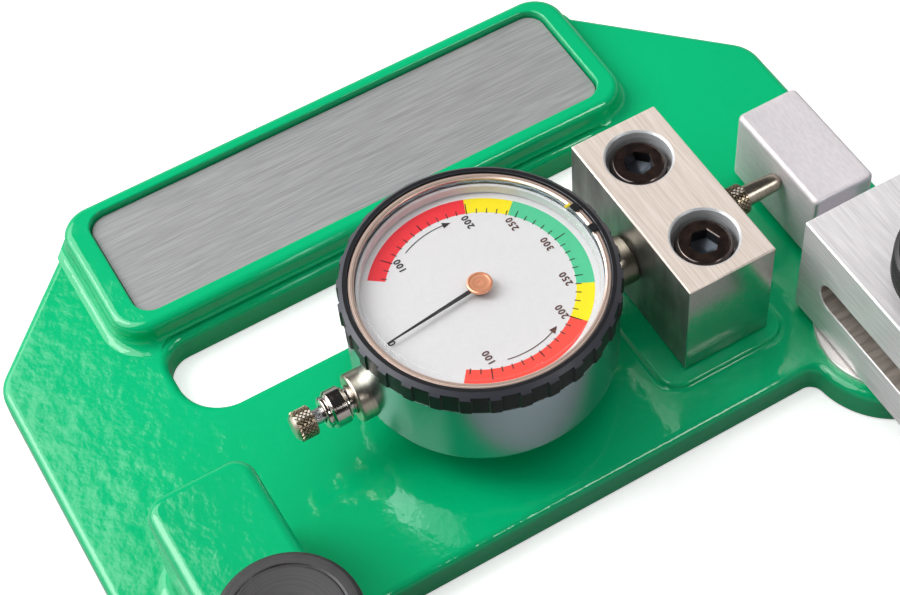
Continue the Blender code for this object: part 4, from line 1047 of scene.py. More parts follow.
def block_surface(face):
    """3 in the bores, 2 on the sawn ends, toned darker as painted shade, 1 on the milled top and 0
    on the long sides.
    """
    skin = filed_edge * 2
    inside = (block_low.x + skin < face.center.x < block_high.x - skin
              and block_low.y + skin < face.center.y < block_high.y - skin)
    if inside and face.normal.z < face_on:
        return 3
    if abs(face.normal.x) > face_on:
        return 2
    return int(face.normal.z > leaning_up)


finish(block, [milled, milled_top, sawn_side_painted_shade, bored_wall], "frame", ["clamp_block"],
       pick=block_surface)


# %% Ridges for knurling
def ridge(radius, low, high, width, height):
    """One upright knurl ridge standing on a cylinder of the given radius."""
    build = bmesh.new()
    foot = radius - height
    rows = []
    for z, tip in ((low, radius), (low + height, radius + height),
                   (high - height, radius + height), (high, radius)):
        rows.append([build.verts.new((foot, -width / 2, z)), build.verts.new((tip, 0, z)),
                     build.verts.new((foot, width / 2, z))])
    for lower, upper in zip(rows, rows[1:]):
        for first, second in ((0, 1), (1, 2), (2, 0)):
            build.faces.new((lower[first], lower[second], upper[second], upper[first]))
    build.faces.new(list(reversed(rows[0])))
    build.faces.new(rows[-1])
    bmesh.ops.recalc_face_normals(build, faces=build.faces)
    return build


# %% Cap screws
head_radius = radius_of("block_screw_back")
head_slope = 0.0006
head_ridges = 52
ridge_width = 0.0005
ridge_height = 0.00018
hexagon_radius = 0.0027 / math.cos(math.pi / 6)
socket_depth = 0.003
socket_point = 0.0022
socket_turn_deg = 12
steep = 0.5


def cap_screw(side, sign):
    """One socket screw; the walls of its socket are painted near black as shade, and its floor has
    a dark bluish metal.
    """
    inner = head_radius - ridge_height
    rim = inner - head_slope
    end = span_of("block_screw_" + side)[0]
    screw = to_object("cap_screw_" + side, turned([
        (0, end), (shank_radius, end, soft_edge), (shank_radius, head_foot),
        (inner, head_foot, fine_edge), (inner, head_top - head_slope, soft_edge),
        (rim, head_top, filed_edge), (rim - fine_edge, head_top - hair_edge, hair_edge),
        (0, head_top - hair_edge)]))
    mouth = filed_edge + fine_edge
    cut(screw, stack(circle_band(0, 0, hexagon_radius, 6), [
        (socket_point, head_top - socket_depth - head_slope), (0, head_top - socket_depth),
        (0, head_top - filed_edge), (-mouth, head_top + fine_edge),
        (-mouth, head_top + overrun)]))
    screw.data.transform(Matrix.Rotation(math.radians(socket_turn_deg * sign), 4, "Z"))
    one_ridge = ridge(inner, head_foot + soft_edge, head_top - soft_edge * 2, ridge_width,
                      ridge_height)
    join(screw, copies_round("knurl", one_ridge, black_oxide, head_ridges))
    screw.data.transform(Matrix.Translation((screw_x, sign * screw_y, 0)))

    def socket_surface(face):
        """1 on the socket's walls, painted near black as shade, 2 on its floor and 0 on the rest.
        """
        axis = Vector((screw_x, sign * screw_y, face.center.z))
        within = (face.center - axis).length < hexagon_radius
        if not within or not head_foot < face.center.z < head_top - fine_edge:
            return 0
        return 1 if abs(face.normal.z) < steep else 2

    finish(screw, [black_oxide, socket_painted_shade, socket_floor], "frame", ["block_screw_" + side],
           pick=socket_surface)


cap_screw("back", 1)
cap_screw("front", -1)

# %% [markdown]
# ## The indicator's case
# The case is a short turned drum with a rounded lower edge, sprayed silver. The bezel turns on its
# upper spigot. The stem's boss is let into its wall on one side and the guide of the plunger on the
# other.

# %% Case
case_radius = radius_of("gauge_case")
case_low, case_high = span_of("gauge_case")
bezel_low, bezel_high = span_of("bezel")
case_shoulder = bezel_low - gap
case_round = 0.0019
bore_radius = 0.0256
spigot_radius = 0.0266
shelf_radius = 0.0246
shelf_top = 0.0276
flange_radius = 0.0212
flange_low, flange_high = case_low + 0.0015, case_low + 0.0023
back_recess = 0.0248
stem_hole = 0.0044
hole_start, hole_end = 0.0192, 0.0295

case = to_object("silver_drum", turned([
    (case_radius, case_low, case_round), (case_radius, case_shoulder, fine_edge),
    (spigot_radius, case_shoulder), (spigot_radius, case_high), (bore_radius, case_high),
    (bore_radius, shelf_top), (shelf_radius, shelf_top), (shelf_radius, flange_high),
    (flange_radius, flange_high), (flange_radius, flange_low), (back_recess, flange_low),
    (back_recess, case_low, fine_edge)], 144))
for start, end in ((hole_start, hole_end), (-hole_end, -hole_start)):
    cut(case, prism(circle_band(0, 0, stem_hole, 64), start, end), along_stem)
finish(case, [silver], "frame", ["gauge_case"])

# %% Back cover
cover_top = span_of("gauge_back")[1]
cover_radius = back_recess - gap
cover = to_object("back_cover", turned([
    (0, case_low + fine_edge), (flange_radius, case_low + fine_edge, hair_edge),
    (flange_radius + filed_edge, case_low, hair_edge), (cover_radius, case_low, filed_edge),
    (cover_radius, cover_top), (0, cover_top)], 128))
finish(cover, [silver], "frame", ["gauge_back"])

# %% [markdown]
# ## Stem, guide, plunger and caps
# These are all turned about the stem's axis. Their profiles are written as if they stood upright,
# and one matrix lays them down. The small cap at the free end and the collar of the tip have a
# diamond knurl: flat-topped diamonds in rows, each second row turned by half a step. The light
# comes from above, so the faces that look up get a bright finish, a painted highlight, and the rest
# of the knurl a dark finish, painted shade.

# %% Stem and rear boss
stem_in, stem_out = span_of("stem", "x")
bush_out, bush_in = span_of("rear_bush", "x")
stem_radius = 0.004
stem_hollow = 0.0023
wall_spigot = 0.0042
wall_inside = 0.0262
stem_boss = 0.00525
stem_boss_end = block_low.x - gap
guide_bore = 0.0019
guide_flange = 0.0031
guide_seat = bush_out + 0.0019

stem = to_object("nickel_stem", turned([
    (wall_spigot, stem_in), (wall_spigot, wall_inside), (stem_boss, wall_inside),
    (stem_boss, stem_boss_end, 0.0005), (stem_radius, stem_boss_end),
    (stem_radius, stem_out, soft_edge), (stem_hollow, stem_out), (stem_hollow, stem_in)], 72),
    along_stem)
finish(stem, [nickel], "frame", ["stem"])

rear_boss = to_object("nickel_rear_boss", turned([
    (wall_spigot, bush_in), (wall_spigot, -wall_inside), (stem_boss, -wall_inside),
    (stem_boss, bush_out, 0.0006), (guide_flange, bush_out, hair_edge),
    (guide_flange, guide_seat), (guide_bore, guide_seat), (guide_bore, bush_in)], 72),
    along_stem)
finish(rear_boss, [nickel], "frame", ["rear_bush"])

# %% Guide
guide_out, guide_in = span_of("rear_guide", "x")
guide_spigot = 0.0029
guide_neck = 0.0027
guide_collar = 0.0034
guide_body = 0.004
neck_end = bush_out - 0.0013

guide = to_object("chrome_guide", turned([
    (guide_bore, guide_in), (guide_spigot, guide_in), (guide_spigot, bush_out - 0.0002),
    (guide_flange, bush_out - 0.0002, hair_edge), (guide_flange, bush_out - 0.0005, hair_edge),
    (guide_neck, bush_out - 0.0006), (guide_neck, neck_end + 0.0002),
    (guide_collar, neck_end + 0.0001, hair_edge), (guide_collar, neck_end - 0.0002, hair_edge),
    (guide_body, neck_end - 0.0006, fine_edge), (guide_body, guide_out + 0.0017, fine_edge),
    (0.0035, guide_out + 0.0012, hair_edge), (guide_flange, guide_out + 0.0011, hair_edge),
    (guide_collar, guide_out + 0.0009, hair_edge), (guide_collar, guide_out + 0.0003, fine_edge),
    (0.003, guide_out, hair_edge), (guide_bore, guide_out)], 72), along_stem)
finish(guide, [chrome], "frame", ["rear_guide"])

# %% Diamond knurl
knurl_columns = 20
knurl_depth = 0.0003
sunk_share = 0.2
top_share = 0.68
looking_up = 0.97


def diamond(radius, width, length, height):
    """One flat-topped diamond of a knurl, standing out from a cylinder."""
    build = bmesh.new()
    corners = ((0, -1), (1, 0), (0, 1), (-1, 0))
    rows = []
    for reach, share in ((radius - height * sunk_share, 1), (radius + height, top_share)):
        rows.append([build.verts.new((reach, y * width / 2 * share, z * length / 2 * share))
                     for y, z in corners])
    for step in range(4):
        after = (step + 1) % 4
        build.faces.new((rows[0][step], rows[0][after], rows[1][after], rows[1][step]))
    build.faces.new(list(reversed(rows[0])))
    build.faces.new(rows[1])
    bmesh.ops.recalc_face_normals(build, faces=build.faces)
    return build


def knurled(name, node, profile, radius, low, high):
    """A turned piece on the plunger, with a diamond knurl between two heights."""
    piece = to_object(name, turned(profile, 72))
    width = math.tau * radius / knurl_columns
    rows = max(2, round((high - low) / width * 2))
    rise = (high - low) / rows
    join(piece, copies_round("diamonds", diamond(radius, width, rise * 2, knurl_depth), nickel,
                             knurl_columns, rows=rows - 1, rise=rise,
                             place=Matrix.Translation((0, 0, low + rise))))
    piece.data.transform(along_stem)

    def knurl_surface(face):
        """1 on the faces that look up, painted bright as a highlight, 2 on the rest of the knurl,
        painted dark as shade, and 0 beside it.
        """
        if not low < face.center.x < high:
            return 0
        return 1 if face.normal.z > looking_up else 2

    return finish(piece, [nickel, knurl_highlight, groove], "plunger", [node], sharp_deg=14,
                  pick=knurl_surface)


# %% Lift cap
cap_out, cap_in = span_of("lift_cap", "x")
cap_radius = radius_of("lift_cap", "z") - knurl_depth
cap_bore = 0.0018
cap_bevel = cap_out + 0.0006
cap_floor = cap_out + 0.001
knurled("knurled_lift_cap", "lift_cap", [
    (0, cap_out), (cap_radius - 0.0007, cap_out, hair_edge), (cap_radius, cap_bevel, hair_edge),
    (cap_radius, cap_in, fine_edge), (cap_bore, cap_in), (cap_bore, cap_floor), (0, cap_floor)],
    cap_radius, cap_bevel, cap_in - hair_edge)

# %% Contact tip
tip_in, tip_out = span_of("contact_tip", "x")
collar_radius = radius_of("contact_tip", "z") - knurl_depth
collar_start = 0.0601
collar_end = collar_start + 0.0032
tip_screw = 0.0012
knurled("knurled_tip", "contact_tip", [
    (0, tip_in), (tip_screw, tip_in), (tip_screw, collar_start),
    (collar_radius - filed_edge, collar_start, fine_edge),
    (collar_radius, collar_start + soft_edge, fine_edge),
    (collar_radius, collar_end - soft_edge, fine_edge),
    (collar_radius - filed_edge, collar_end, hair_edge), (0.0024, collar_end),
    (0.002, tip_out - 0.0009, soft_edge), (0.0014, tip_out, fine_edge), (0, tip_out)],
    collar_radius, collar_start + hair_edge, collar_end - hair_edge)

# %% [markdown]
# ## The return spring
# The spring sits inside the case, between the stem and the plunger's collar. In the tool it is
# pressed together by just the way that the plunger travels; here it keeps the solid's shape, with
# doubled points merged, and rides on the frame.

# %% Return spring
coil_merge = 1e-6
coil = bmesh.new()
coil.from_mesh(frame["nodes"]["return_spring"].data)
bmesh.ops.remove_doubles(coil, verts=coil.verts, dist=coil_merge)
spring = finish(to_object("coiled_return_spring", coil), [steel], "frame", ["return_spring"])
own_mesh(spring)

# %% [markdown]
# ## The grip bezel
# The bezel is a moulded ring. Its rim is cut by thirty shallow notches so that a finger can turn
# it. One sector of thirty is built point by point, from the middle of one rib to the middle of the
# next, and the tree of copies sets it round the ring and welds the seams.

# %% Sizes of the bezel
notch_count = 30
notch_depth = 0.0004
notch_share = 0.64
slope_share = 0.06
rib_steps = 5
bezel_radius = radius_of("bezel")
bezel_inner = 0.0259
bezel_skirt = 0.0269
lip_low = bezel_high - 0.0009
rim_fall = ((0.0, 0.0013, 1), (0.00045, 0.0008, 0), (0.0012, 0.0001, 0), (0.0013, 0.0, 0),
            (0.0016, 0.0, 0))
print("notches:", notch_count, "of", round(notch_depth * 1000, 1), "mm")


# %% Rings from columns of points
def close_columns(build, columns):
    """Faces between neighbouring columns of points, each column a closed outline."""
    for left, right in zip(columns, columns[1:]):
        for index in range(len(left)):
            after = (index + 1) % len(left)
            build.faces.new((left[index], right[index], right[after], left[after]))


def face_outwards(piece):
    """Point the faces of a closed mesh outwards."""
    build = bmesh.new()
    build.from_mesh(piece.data)
    bmesh.ops.recalc_face_normals(build, faces=build.faces)
    build.to_mesh(piece.data)
    build.free()


# %% Bezel
def bezel_sector():
    """A thirtieth of the bezel with one notch in its middle.

    The rim falls in steps, each given as the way in, the way down, and whether a notch cuts it.
    """
    edge = (1 - notch_share) / 2
    floor = notch_share - 2 * slope_share
    columns_at = []
    for start, width, depth in ((0, edge, 0), (edge + slope_share, floor, 1),
                                (edge + notch_share, edge, 0)):
        columns_at += [(start + width * step / rib_steps, depth) for step in range(rib_steps + 1)]
    profile = [(bezel_radius - 0.0005, bezel_low, 0), (bezel_radius, bezel_low + soft_edge, 1)]
    profile += [(bezel_radius - way_in, bezel_high - down, cut_too)
                for way_in, down, cut_too in rim_fall]
    profile += [(bezel_inner + hair_edge, bezel_high, 0),
                (bezel_inner, bezel_high - hair_edge, 0), (bezel_inner, lip_low, 0),
                (bezel_skirt, lip_low, 0), (bezel_skirt, bezel_low, 0)]
    build = bmesh.new()
    columns = []
    for share, depth in columns_at:
        angle = (share - 0.5) * math.tau / notch_count
        column = []
        for radius, height, cut_too in profile:
            reach = radius - depth * cut_too * notch_depth
            column.append(build.verts.new((reach * math.cos(angle), reach * math.sin(angle),
                                           height)))
        columns.append(column)
    close_columns(build, columns)
    return build


def rim_sheen_faces(face):
    """1 on the slopes of the rim, where a paler plastic paints their sheen, and 0 on the rest."""
    return int(steep < face.normal.z < looking_up)


bezel = copies_round("grip_bezel", bezel_sector(), black_plastic, notch_count)
face_outwards(bezel)
finish(bezel, [black_plastic, rim_painted_sheen], "bezel", ["bezel"], sharp_deg=28,
       pick=rim_sheen_faces)

# %% [markdown]
# ## The dial
# The dial is a white enamelled disc with a printed scale. A picture of the print would blur when
# seen close, so each ink is real geometry, a film three hundredths of a millimetre thick. The bands
# are sectors of a ring, the marks come from the tree of copies, and the figures are text turned
# into mesh.

# %% Dial disc
dial_radius = radius_of("dial_face")
dial_low, dial_top = span_of("dial_face")
arbor_hole = 0.0016
dial = to_object("white_dial", turned([
    (arbor_hole, dial_low), (dial_radius, dial_low), (dial_radius, dial_top, hair_edge),
    (arbor_hole, dial_top)], 128))
finish(dial, [dial_white], "bezel", ["dial_face"])

# %% Colour bands
ink_gap = 0.00001
ink_film = 0.00003
ink_low = dial_top + ink_gap
ink_high = ink_low + ink_film
band_inner = 0.0189
band_outer = 0.0225
band_step_deg = 1.5


def ring_sector(inner, outer, start_deg, end_deg, low, high):
    """A flat piece of a ring between two angles."""
    count = max(2, round(abs(end_deg - start_deg) / band_step_deg))
    build = bmesh.new()
    columns = []
    for step in range(count + 1):
        angle = math.radians(start_deg + (end_deg - start_deg) * step / count)
        way = Vector((math.cos(angle), math.sin(angle)))
        columns.append([build.verts.new((*(way * radius), height)) for radius, height in (
            (inner, low), (outer, low), (outer, high), (inner, high))])
    close_columns(build, columns)
    build.faces.new(columns[0])
    build.faces.new(list(reversed(columns[-1])))
    bmesh.ops.recalc_face_normals(build, faces=build.faces)
    return build


for name, ink, start, end in (
        ("band_low_rising", ink_red, 68.4, 142.4), ("band_near_rising", ink_yellow, 42.5, 68.4),
        ("band_good", ink_green, -28.2, 42.5), ("band_near_falling", ink_yellow, -52.2, -28.2),
        ("band_low_falling", ink_orange_red, -128.5, -52.2)):
    band = to_object(name, ring_sector(band_inner, band_outer, start, end, ink_low, ink_high))
    finish(band, [ink], "bezel")

# %% Marks
mark_start = band_inner - 0.0002
mark_half = 0.0001
mark_low = ink_high + ink_gap
mark_high = mark_low + ink_film
short, middling, long = 0.0012, 0.0017, 0.0026


def flat_band(points):
    """An outline that keeps its sharp corners."""
    return [(x, y, 0, 0) for x, y in points]


def mark(length):
    """One mark from the bands' inner edge outwards."""
    end = mark_start + length
    return prism(flat_band(((mark_start, -mark_half), (end, -mark_half), (end, mark_half),
                            (mark_start, mark_half))), mark_low, mark_high)


for name, length, start_deg, step_deg, count in (
        ("marks_rising", short, 140.74, -6.07, 23), ("marks_high", short, 1.23, -5.97, 9),
        ("marks_falling", short, -52.5, -6.13, 13), ("marks_fifty", middling, 98.25, -60.7, 2),
        ("marks_hundred", long, 128.6, -60.7, 3),
        ("marks_fifty_falling", middling, -22.65, -60.5, 2),
        ("marks_hundred_falling", long, -52.5, -61.3, 2)):
    marks = copies_round(name, mark(length), ink_black, count, step=math.radians(step_deg),
                         start=math.radians(start_deg))
    finish(marks, [ink_black], "bezel")


# %% Figures
figure_size = 0.00205
figure_weight = 0.00005
figure_width = 0.95
figure_spacing = 1.2


def figure(name, words, x, y, ink):
    """Figures as a thin printed mesh. They read along +Y, with their top towards -X."""
    curve = bpy.data.curves.new(name, "FONT")
    curve.body = words
    curve.size = figure_size
    curve.align_x = "CENTER"
    curve.align_y = "CENTER"
    curve.extrude = ink_film / 2
    curve.offset = figure_weight
    curve.space_character = figure_spacing
    letters = bpy.data.objects.new(name, curve)
    scene.collection.objects.link(letters)
    graph = bpy.context.evaluated_depsgraph_get()
    mesh = bpy.data.meshes.new_from_object(letters.evaluated_get(graph))
    bpy.data.objects.remove(letters, do_unlink=True)
    turn = Matrix(((0, -1, 0, x), (1, 0, 0, y), (0, 0, 1, mark_low + ink_film), (0, 0, 0, 1)))
    mesh.transform(turn @ Matrix.Diagonal((figure_width, 1, 1, 1)))
    mesh.name = name
    piece = bpy.data.objects.new(name, mesh)
    scene.collection.objects.link(piece)
    finish(piece, [ink], "bezel")


figures = (("100", 128.6, 0.0170, ink_black), ("200", 67.9, 0.0167, ink_black),
           ("250", 37.2, 0.0170, ink_brown), ("300", 7.7, 0.0170, ink_brown),
           ("250", -24.1, 0.0170, ink_brown), ("200", -50.9, 0.0170, ink_brown),
           ("100", -114.4, 0.0163, ink_brown))
for number, (words, angle_deg, radius, ink) in enumerate(figures, 1):
    angle = math.radians(angle_deg)
    figure(f"figure_{number}_{words}", words, radius * math.cos(angle),
           radius * math.sin(angle), ink)
figure("figure_zero", "0", -0.0209, -0.0020, ink_black)

# %% Arrows
arrow_radius = 0.0175
arrow_half = 0.00009
head_length_deg = 5.5
head_half = 0.00075


def arrow(name, tail_deg, head_deg, ink):
    """A thin curved arrow that shows which way the tension goes."""
    way = 1 if head_deg > tail_deg else -1
    neck = head_deg - way * head_length_deg
    shaft = to_object(name, ring_sector(arrow_radius - arrow_half, arrow_radius + arrow_half,
                                        min(tail_deg, neck), max(tail_deg, neck),
                                        mark_low, mark_high))
    corners = []
    for angle_deg, radius in ((neck, arrow_radius - head_half), (head_deg, arrow_radius),
                              (neck, arrow_radius + head_half)):
        angle = math.radians(angle_deg)
        corners.append((radius * math.cos(angle), radius * math.sin(angle)))
    if way > 0:
        corners.reverse()
    join(shaft, to_object("head", prism(flat_band(corners), mark_low, mark_high)))
    finish(shaft, [ink], "bezel")


arrow("arrow_tightening", 117.8, 79.7, ink_black)
arrow("arrow_slackening", -103.0, -62.4, ink_brown)

# %% [markdown]
# ## Pointer, ring, crystal and markers
# The pointer is a stamped needle under a copper-coloured cap. A white ring stands on the dial and
# carries the crystal, which a copper-coloured ring holds down. Two black tabs on that ring mark the
# limits that the user has set.

# %% Pointer
needle_low, needle_high = span_of("pointer")
needle_turn_deg = 186
needle_length = 0.0222
needle_half = 0.00045
needle_tip = 0.0001
needle_disc = 0.0017
needle_hole = 0.0007

needle_band = wrap([(0, 0, needle_half), (needle_length - needle_tip, 0, needle_tip)], 32)
needle = to_object("needle", prism(needle_band, needle_low, needle_high))
disc = prism(circle_band(0, 0, needle_disc, 48), needle_low, needle_high)
combine(needle, to_object("disc", disc), "UNION")
drill(needle, 0, 0, needle_hole, needle_low - overrun, needle_high + overrun, steps=32)
needle.data.transform(Matrix.Rotation(math.radians(needle_turn_deg), 4, "Z"))
finish(needle, [pointer_black], "centre", ["pointer"])

# %% Pointer's cap
hub_low, hub_top = span_of("pointer_hub")
hub_radius = radius_of("pointer_hub")
hub_floor = hub_top - 0.00012
dimple_radius = 0.0005
dimple_floor = hub_top - 0.0003
cap = to_object("hub_cap", turned([
    (0, hub_low), (hub_radius, hub_low), (hub_radius, hub_top - hair_edge, hair_edge),
    (hub_radius - 0.0003, hub_top, hair_edge), (hub_radius - 0.0005, hub_top, hair_edge),
    (hub_radius - 0.0006, hub_floor, hair_edge), (dimple_radius, hub_floor),
    (dimple_radius - hair_edge, dimple_floor), (0, dimple_floor)], 64))
finish(cap, [hub_copper], "centre", ["pointer_hub"])

# %% Rings and crystal
spacer_low, spacer_high = span_of("spacer_ring")
spacer_inner = dial_radius - 0.0006
spacer = to_object("white_ring", turned([
    (spacer_inner, spacer_low), (dial_radius, spacer_low), (dial_radius, spacer_high),
    (spacer_inner, spacer_high, hair_edge)], 128))
finish(spacer, [dial_white], "bezel", ["spacer_ring"])

crystal_low, crystal_high = span_of("crystal")
crystal_flange = crystal_low + 0.0006
dome_radius = dial_radius - 0.0009
crystal = to_object("clear_window", turned([
    (0, crystal_low), (dial_radius, crystal_low), (dial_radius, crystal_flange),
    (dome_radius, crystal_flange), (dome_radius, crystal_high - filed_edge, fine_edge),
    (dome_radius * 0.5, crystal_high - 0.00008, 0.0005), (0, crystal_high)], 128))
finish(crystal, [crystal_glass], "bezel", ["crystal"], sharp_deg=40)

ring_low, ring_high = span_of("crystal_ring")
ring_outer = radius_of("crystal_ring")
ring_inner = ring_outer - 0.0012
ring = to_object("copper_ring", turned([
    (ring_inner, ring_low), (ring_outer, ring_low), (ring_outer, ring_high, hair_edge),
    (ring_inner + soft_edge, ring_high, hair_edge),
    (ring_inner, ring_high - fine_edge, hair_edge)], 128))
finish(ring, [copper], "bezel", ["crystal_ring"])

# %% Tolerance markers
marker_half = 0.00095
marker_angles_deg = (9.6, -4.6)
flag_width = 0.0007
flagged = 1


def marker_piece(name, discs, layers, angle_deg):
    """A small stamped tab, turned to its place on the ring."""
    tab = to_object(name, stack(wrap(discs, 32), layers))
    tab.data.transform(Matrix.Rotation(math.radians(angle_deg), 4, "Z"))
    return tab


for number, angle_deg in enumerate(marker_angles_deg, 1):
    low = span_of(f"tolerance_marker_{number}")[0]
    tab = marker_piece(
        f"marker_tab_{number}",
        box_discs(ring_inner - soft_edge, ring_outer - 0.00002, -marker_half, marker_half,
                  filed_edge),
        [(0, low), (0, low + 0.00025), (0.00012, low + 0.0004)], angle_deg)
    finish(tab, [black_plastic], "bezel", [f"tolerance_marker_{number}"])
    if number == flagged:
        flag = marker_piece(
            "marker_flag",
            box_discs(ring_inner - 0.0011, ring_inner + filed_edge, marker_half,
                      marker_half + flag_width, fine_edge),
            [(0, low), (0, low + fine_edge), (hair_edge, low + filed_edge)], angle_deg)
        finish(flag, [marker_yellow], "bezel")

# %% [markdown]
# ## The lever
# The lever is two pieces. The arm, soft-edged and satin, leans on the indicator's tip. The jaw
# block is milled square, with a round-ended slot for the blade, and turns on a pin in the frame's
# lobe. The inside of the slot is rougher than the faces round it, and painted darker as the shade
# that lies in it.

# %% Jaw block
jaw_low, jaw_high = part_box("jaw_block")
arm_low, arm_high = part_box("lever_arm")
right_clamp = (0.0789, -0.0487)
tongue_top = 0.0173
pin_bore = 0.0042
pin_bore_depth = 0.0079
edge_on = 0.1

jaw = to_object("milled_jaw", stack(box_band(jaw_low, jaw_high, filed_edge, 32),
                                    break_edges(jaw_low.z, jaw_high.z, filed_edge)))
cut_blade_slot(jaw, jaw_low, jaw_high)
rebate = wrap(box_discs(arm_low.x - gap, arm_high.x + gap, arm_low.y - gap, jaw_high.y + overrun,
                        soft_edge), 32)
cut(jaw, prism(rebate, jaw_low.z - overrun, tongue_top + gap))
drill(jaw, *right_clamp, clamp_bore, blade_ceiling - sunk, jaw_high.z, soft_edge)
drill(jaw, *pivot, pin_bore, jaw_low.z - overrun, jaw_low.z + pin_bore_depth)


def jaw_surface(face):
    """1 inside the blade slot, whose darker finish paints the shade in it, and 0 on the rest."""
    x, y, z = face.center
    inside = (jaw_low.x + filed_edge < x < jaw_high.x - filed_edge
              and jaw_low.y + soft_edge < y < blade_end + hair_edge
              and blade_floor - hair_edge < z < blade_ceiling + hair_edge)
    return int(inside and abs(face.normal.x) < edge_on)


finish(jaw, [jaw_metal, slot_painted_shade], "lever", ["jaw_block"],
       pick=jaw_surface)

# %% Arm
arm_front = -0.0126
arm_corner = 0.0014
arm_round_under, arm_round_over = 0.0008, 0.0011
arm_screw_hole = 0.0017
arm_head_hole = 0.00295
arm_head_depth = 0.00315
looking_front = -0.6

arm_band = wrap(box_discs(arm_low.x, arm_high.x, arm_front, arm_high.y, arm_corner), 64)
arm = to_object("cast_arm", stack(arm_band, round_under(arm_low.z, arm_round_under)
                                  + round_over(arm_high.z, arm_round_over)))
tongue_band = wrap(box_discs(arm_low.x, arm_high.x, arm_low.y, arm_front + arm_corner * 2,
                             0.0005), 32)
combine(arm, to_object("tongue", stack(tongue_band, [
    (filed_edge, arm_low.z), (0, arm_low.z + filed_edge), (0, tongue_top)])), "UNION")
for number in (1, 2):
    node = f"arm_screw_{number}"
    place = (middle_of(node, "x"), middle_of(node, "y"))
    head_end = span_of(node)[0] + arm_head_depth
    drill(arm, *place, arm_screw_hole, arm_low.z - overrun, tongue_top + overrun, steps=32)
    drill(arm, *place, arm_head_hole, arm_low.z - overrun, head_end, steps=48)


def arm_surface(face):
    """1 on the front end, whose darker mirror finish paints the shade that falls on it, and 0 on
    the rest.
    """
    return int(face.normal.y < looking_front)


finish(arm, [arm_metal, arm_front_shade], "lever", ["lever_arm"],
       pick=arm_surface)

# %% [markdown]
# ## The clamp knobs
# Each clamp has a dark knob with a fine straight knurl, a groove near its edge and a slightly
# dished face. A steel spindle under it carries a swivelling pad that presses on the blade. Both
# sides are the same, so one function makes each piece for a side and a centre.

# %% Knobs
knob_ridges = 132
knurl_height = 0.00016
thread_radius = 0.0041
knob_socket = 0.002
groove_in, groove_out = 0.785, 0.80
groove_depth = 0.00025


def knurled_knob(side, centre):
    """A knob with its groove and its dish, which rides on its clamp's screw."""
    low, top = span_of(side + "_knob")
    radius = radius_of(side + "_knob") - knurl_height
    knob = to_object(side + "_knurled_knob", turned([
        (thread_radius, low), (radius - 0.0008, low, fine_edge),
        (radius, low + 0.0006, fine_edge), (radius, top - 0.0006, fine_edge),
        (radius - 0.0007, top, fine_edge), (radius * 0.82, top, hair_edge),
        (radius * groove_out, top - groove_depth, hair_edge),
        (radius * groove_in, top - groove_depth, hair_edge),
        (radius * 0.77, top - 0.00005, hair_edge), (radius * 0.4, top - 0.0003, 0.002),
        (0, top - 0.0004), (0, top - knob_socket), (thread_radius, top - knob_socket)], 144))
    one_ridge = ridge(radius, low + 0.0007, top - 0.0007, math.tau * radius / knob_ridges,
                      knurl_height)
    join(knob, copies_round("knurl", one_ridge, black_plastic, knob_ridges))
    knob.data.transform(Matrix.Translation((*centre, 0)))
    finish(knob, [knob_finish(side + "_knob_black", centre)], side + "_screw",
           [side + "_knob"])


knurled_knob("left", left_clamp)
knurled_knob("right", right_clamp)

# %% Spindles
pitch = 0.00125
thread_crest = 0.0039
thread_root = 0.0034
spindle_neck = 0.0018
thread_above = 0.003
turns = int((clamp_top + thread_above - blade_ceiling) / pitch)
print("turns of the thread:", turns)


def threaded_spindle(side, centre):
    """A steel spindle whose thread is turned as rings."""
    low, high = span_of(side + "_spindle")
    profile = [(0, low), (spindle_neck, low, fine_edge), (spindle_neck, blade_ceiling)]
    for turn in range(turns):
        start = blade_ceiling + turn * pitch
        profile += [(thread_crest, start + pitch * 0.3), (thread_crest, start + pitch * 0.45),
                    (thread_root, start + pitch * 0.8)]
    profile += [(thread_crest, blade_ceiling + turns * pitch + soft_edge),
                (thread_crest, high, filed_edge), (0, high)]
    spindle = to_object(side + "_threaded_spindle", turned(profile, 64),
                        Matrix.Translation((*centre, 0)))
    finish(spindle, [steel], side + "_screw", [side + "_spindle"])


# %% Pads
pad_radius = 0.0055
pad_socket = 0.002
pad_socket_depth = 0.001


def blade_pad(side, centre):
    """The pad that presses on the blade, with a socket for the spindle's end."""
    low, high = span_of(side + "_pressure_pad")
    pad = to_object(side + "_blade_pad", turned([
        (0, low), (pad_radius, low, filed_edge), (pad_radius, high, filed_edge),
        (pad_socket, high, hair_edge), (pad_socket, high - pad_socket_depth),
        (0, high - pad_socket_depth)], 64), Matrix.Translation((*centre, 0)))
    finish(pad, [steel], side + "_pad", [side + "_pressure_pad"])


for side, centre in (("left", left_clamp), ("right", right_clamp)):
    threaded_spindle(side, centre)
    blade_pad(side, centre)

# %% [markdown]
# ## What stays as it is
# The movement is inside the case and the pivot's screw and washer are underneath. Their solids
# already have the right shape, so they only need their finish.

# %% Finishes of the remaining solids
finish_of_slot = {
    "green_enamel": enamel, "brushed_plate": plate_metal, "milled_aluminium": milled,
    "tumbled_aluminium": arm_metal, "silver_case": silver, "nickel": nickel, "chrome": chrome,
    "steel": steel, "black_steel": black_oxide, "black_plastic": black_plastic, "brass": brass,
    "bronze": bronze, "copper": copper, "dial_white": dial_white, "clear_crystal": crystal_glass,
    "marker_yellow": marker_yellow}
kept = 0
for part in frame["record"]["subparts"]:
    solid = frame["nodes"][part["node"]]
    if solid.hide_render:
        continue
    solid.data.materials.clear()
    solid.data.materials.append(finish_of_slot[part["material_slot"]])
    kept += 1
print("solids kept:", kept)

